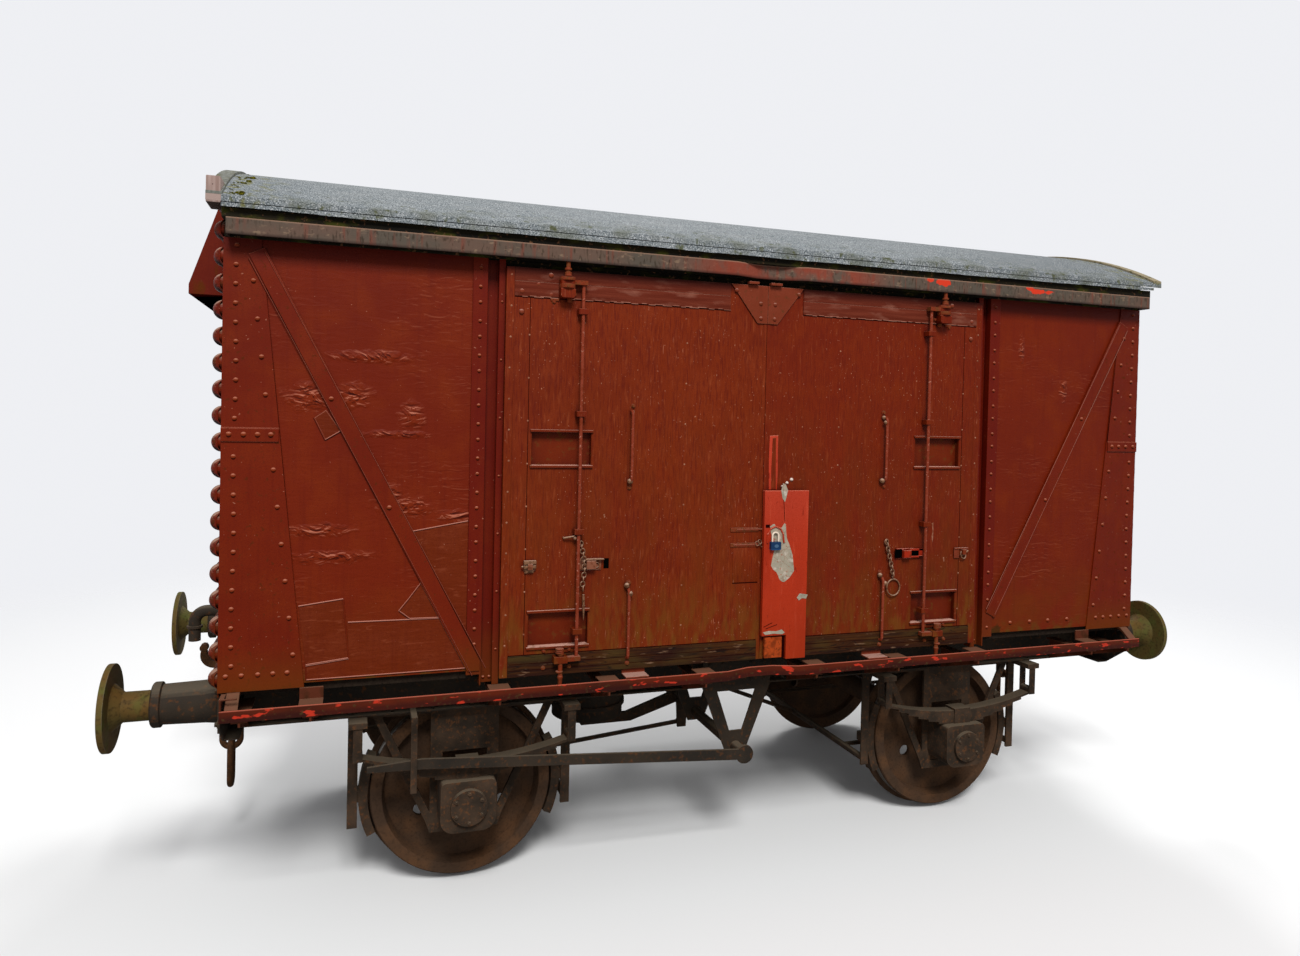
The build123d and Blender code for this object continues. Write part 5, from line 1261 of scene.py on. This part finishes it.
slat = ((34, 903), (32, 960), (30, 1060), (33, 1196), (83, 1199), (84, 1100), (86, 1010), (84, 903))
fitted("slat_edge", eased(sheet(bmesh.new(), slat, 24.5, 4), 0.001), board_red)
bare_face = ((47, 905), (46, 1010), (50, 1184), (70, 1186), (72, 1050), (76, 905))
fitted("slat_face", sheet(bmesh.new(), bare_face, 28, 1.4), door_red_left)
pale_bolts = [head(145, 939, 25, 9, 9), head(172, 957, 25, 10, 10), head(117, 921, 25, 7, 7)]
pale_head = Finish("pale_head", (206, 192, 180), 0.55)
pale_head.faces(0.0, -0.6, (120, 82, 66), 0.8).done()
fitted("pale_bolts", rivet_heads(pale_bolts, 10), pale_head)

straps = slabs(((-150, 24), (684, 692), (28, 34)), ((-170, -20), (601, 609), (28, 34)))
fitted("hasp_straps", eased(straps, 0.0012), worn_red)
backing = slabs(((-169, -4), (402, 598), (24.6, 27)))
fitted("hasp_plate", eased(backing, 0.0012), door_red_left)
arch = bmesh.new()
loop = [(18, 616), (19, 664), (36, 694), (64, 705), (94, 694), (111, 664), (117, 616)]
bead(arch, loop, 60, 5.2)
for x, z in loop[1:-1]:
    ball = bmesh.ops.create_uvsphere(arch, u_segments=8, v_segments=6, radius=0.0052)["verts"]
    bmesh.ops.translate(arch, vec=at(x, z, 60), verts=ball)
fitted("hasp_staple", arch, board_red)
wire = []
for step in range(4):
    place = at(-30 + 14 * step, 612 + 9 * sin(2.1 * step), 36)
    wire.append((place, (0.4 * sin(step), -1, 0.3), 0.012, 0.012))
fitted("hasp_wire", repeated(round_link(0.14), wire), chain_rust)

shoe_rust = Finish("shoe_rust", (158, 66, 32), 0.75)
shoe_rust.mottle((30, 5), 0.44, 0.6, (112, 48, 26), 0.85)
shoe_rust.mottle((90, 3), 0.6, 0.7, (70, 40, 26), 0.8).done()
dress(shoe_rust, "security_board_shoe", ease=0.002)

lock_blue = Finish("lock_blue", (40, 74, 116), 0.35)
lock_blue.layer(lock_blue.spot(0.064, 1.820, 0.014, 0.010, 0.2), (128, 168, 200), 0.8)
# A painted highlight on the upper edges and painted shade on the lower.
lock_blue.edges(0.003, (150, 172, 198), (18, 30, 50))
lock_blue.band("Z", 1.805, 1.799, (22, 40, 60), 0.7)
lock_blue.band("Z", 1.8435, 1.8425, (214, 196, 176), 1.0, 0.3).done()
dress(lock_blue, "padlock")
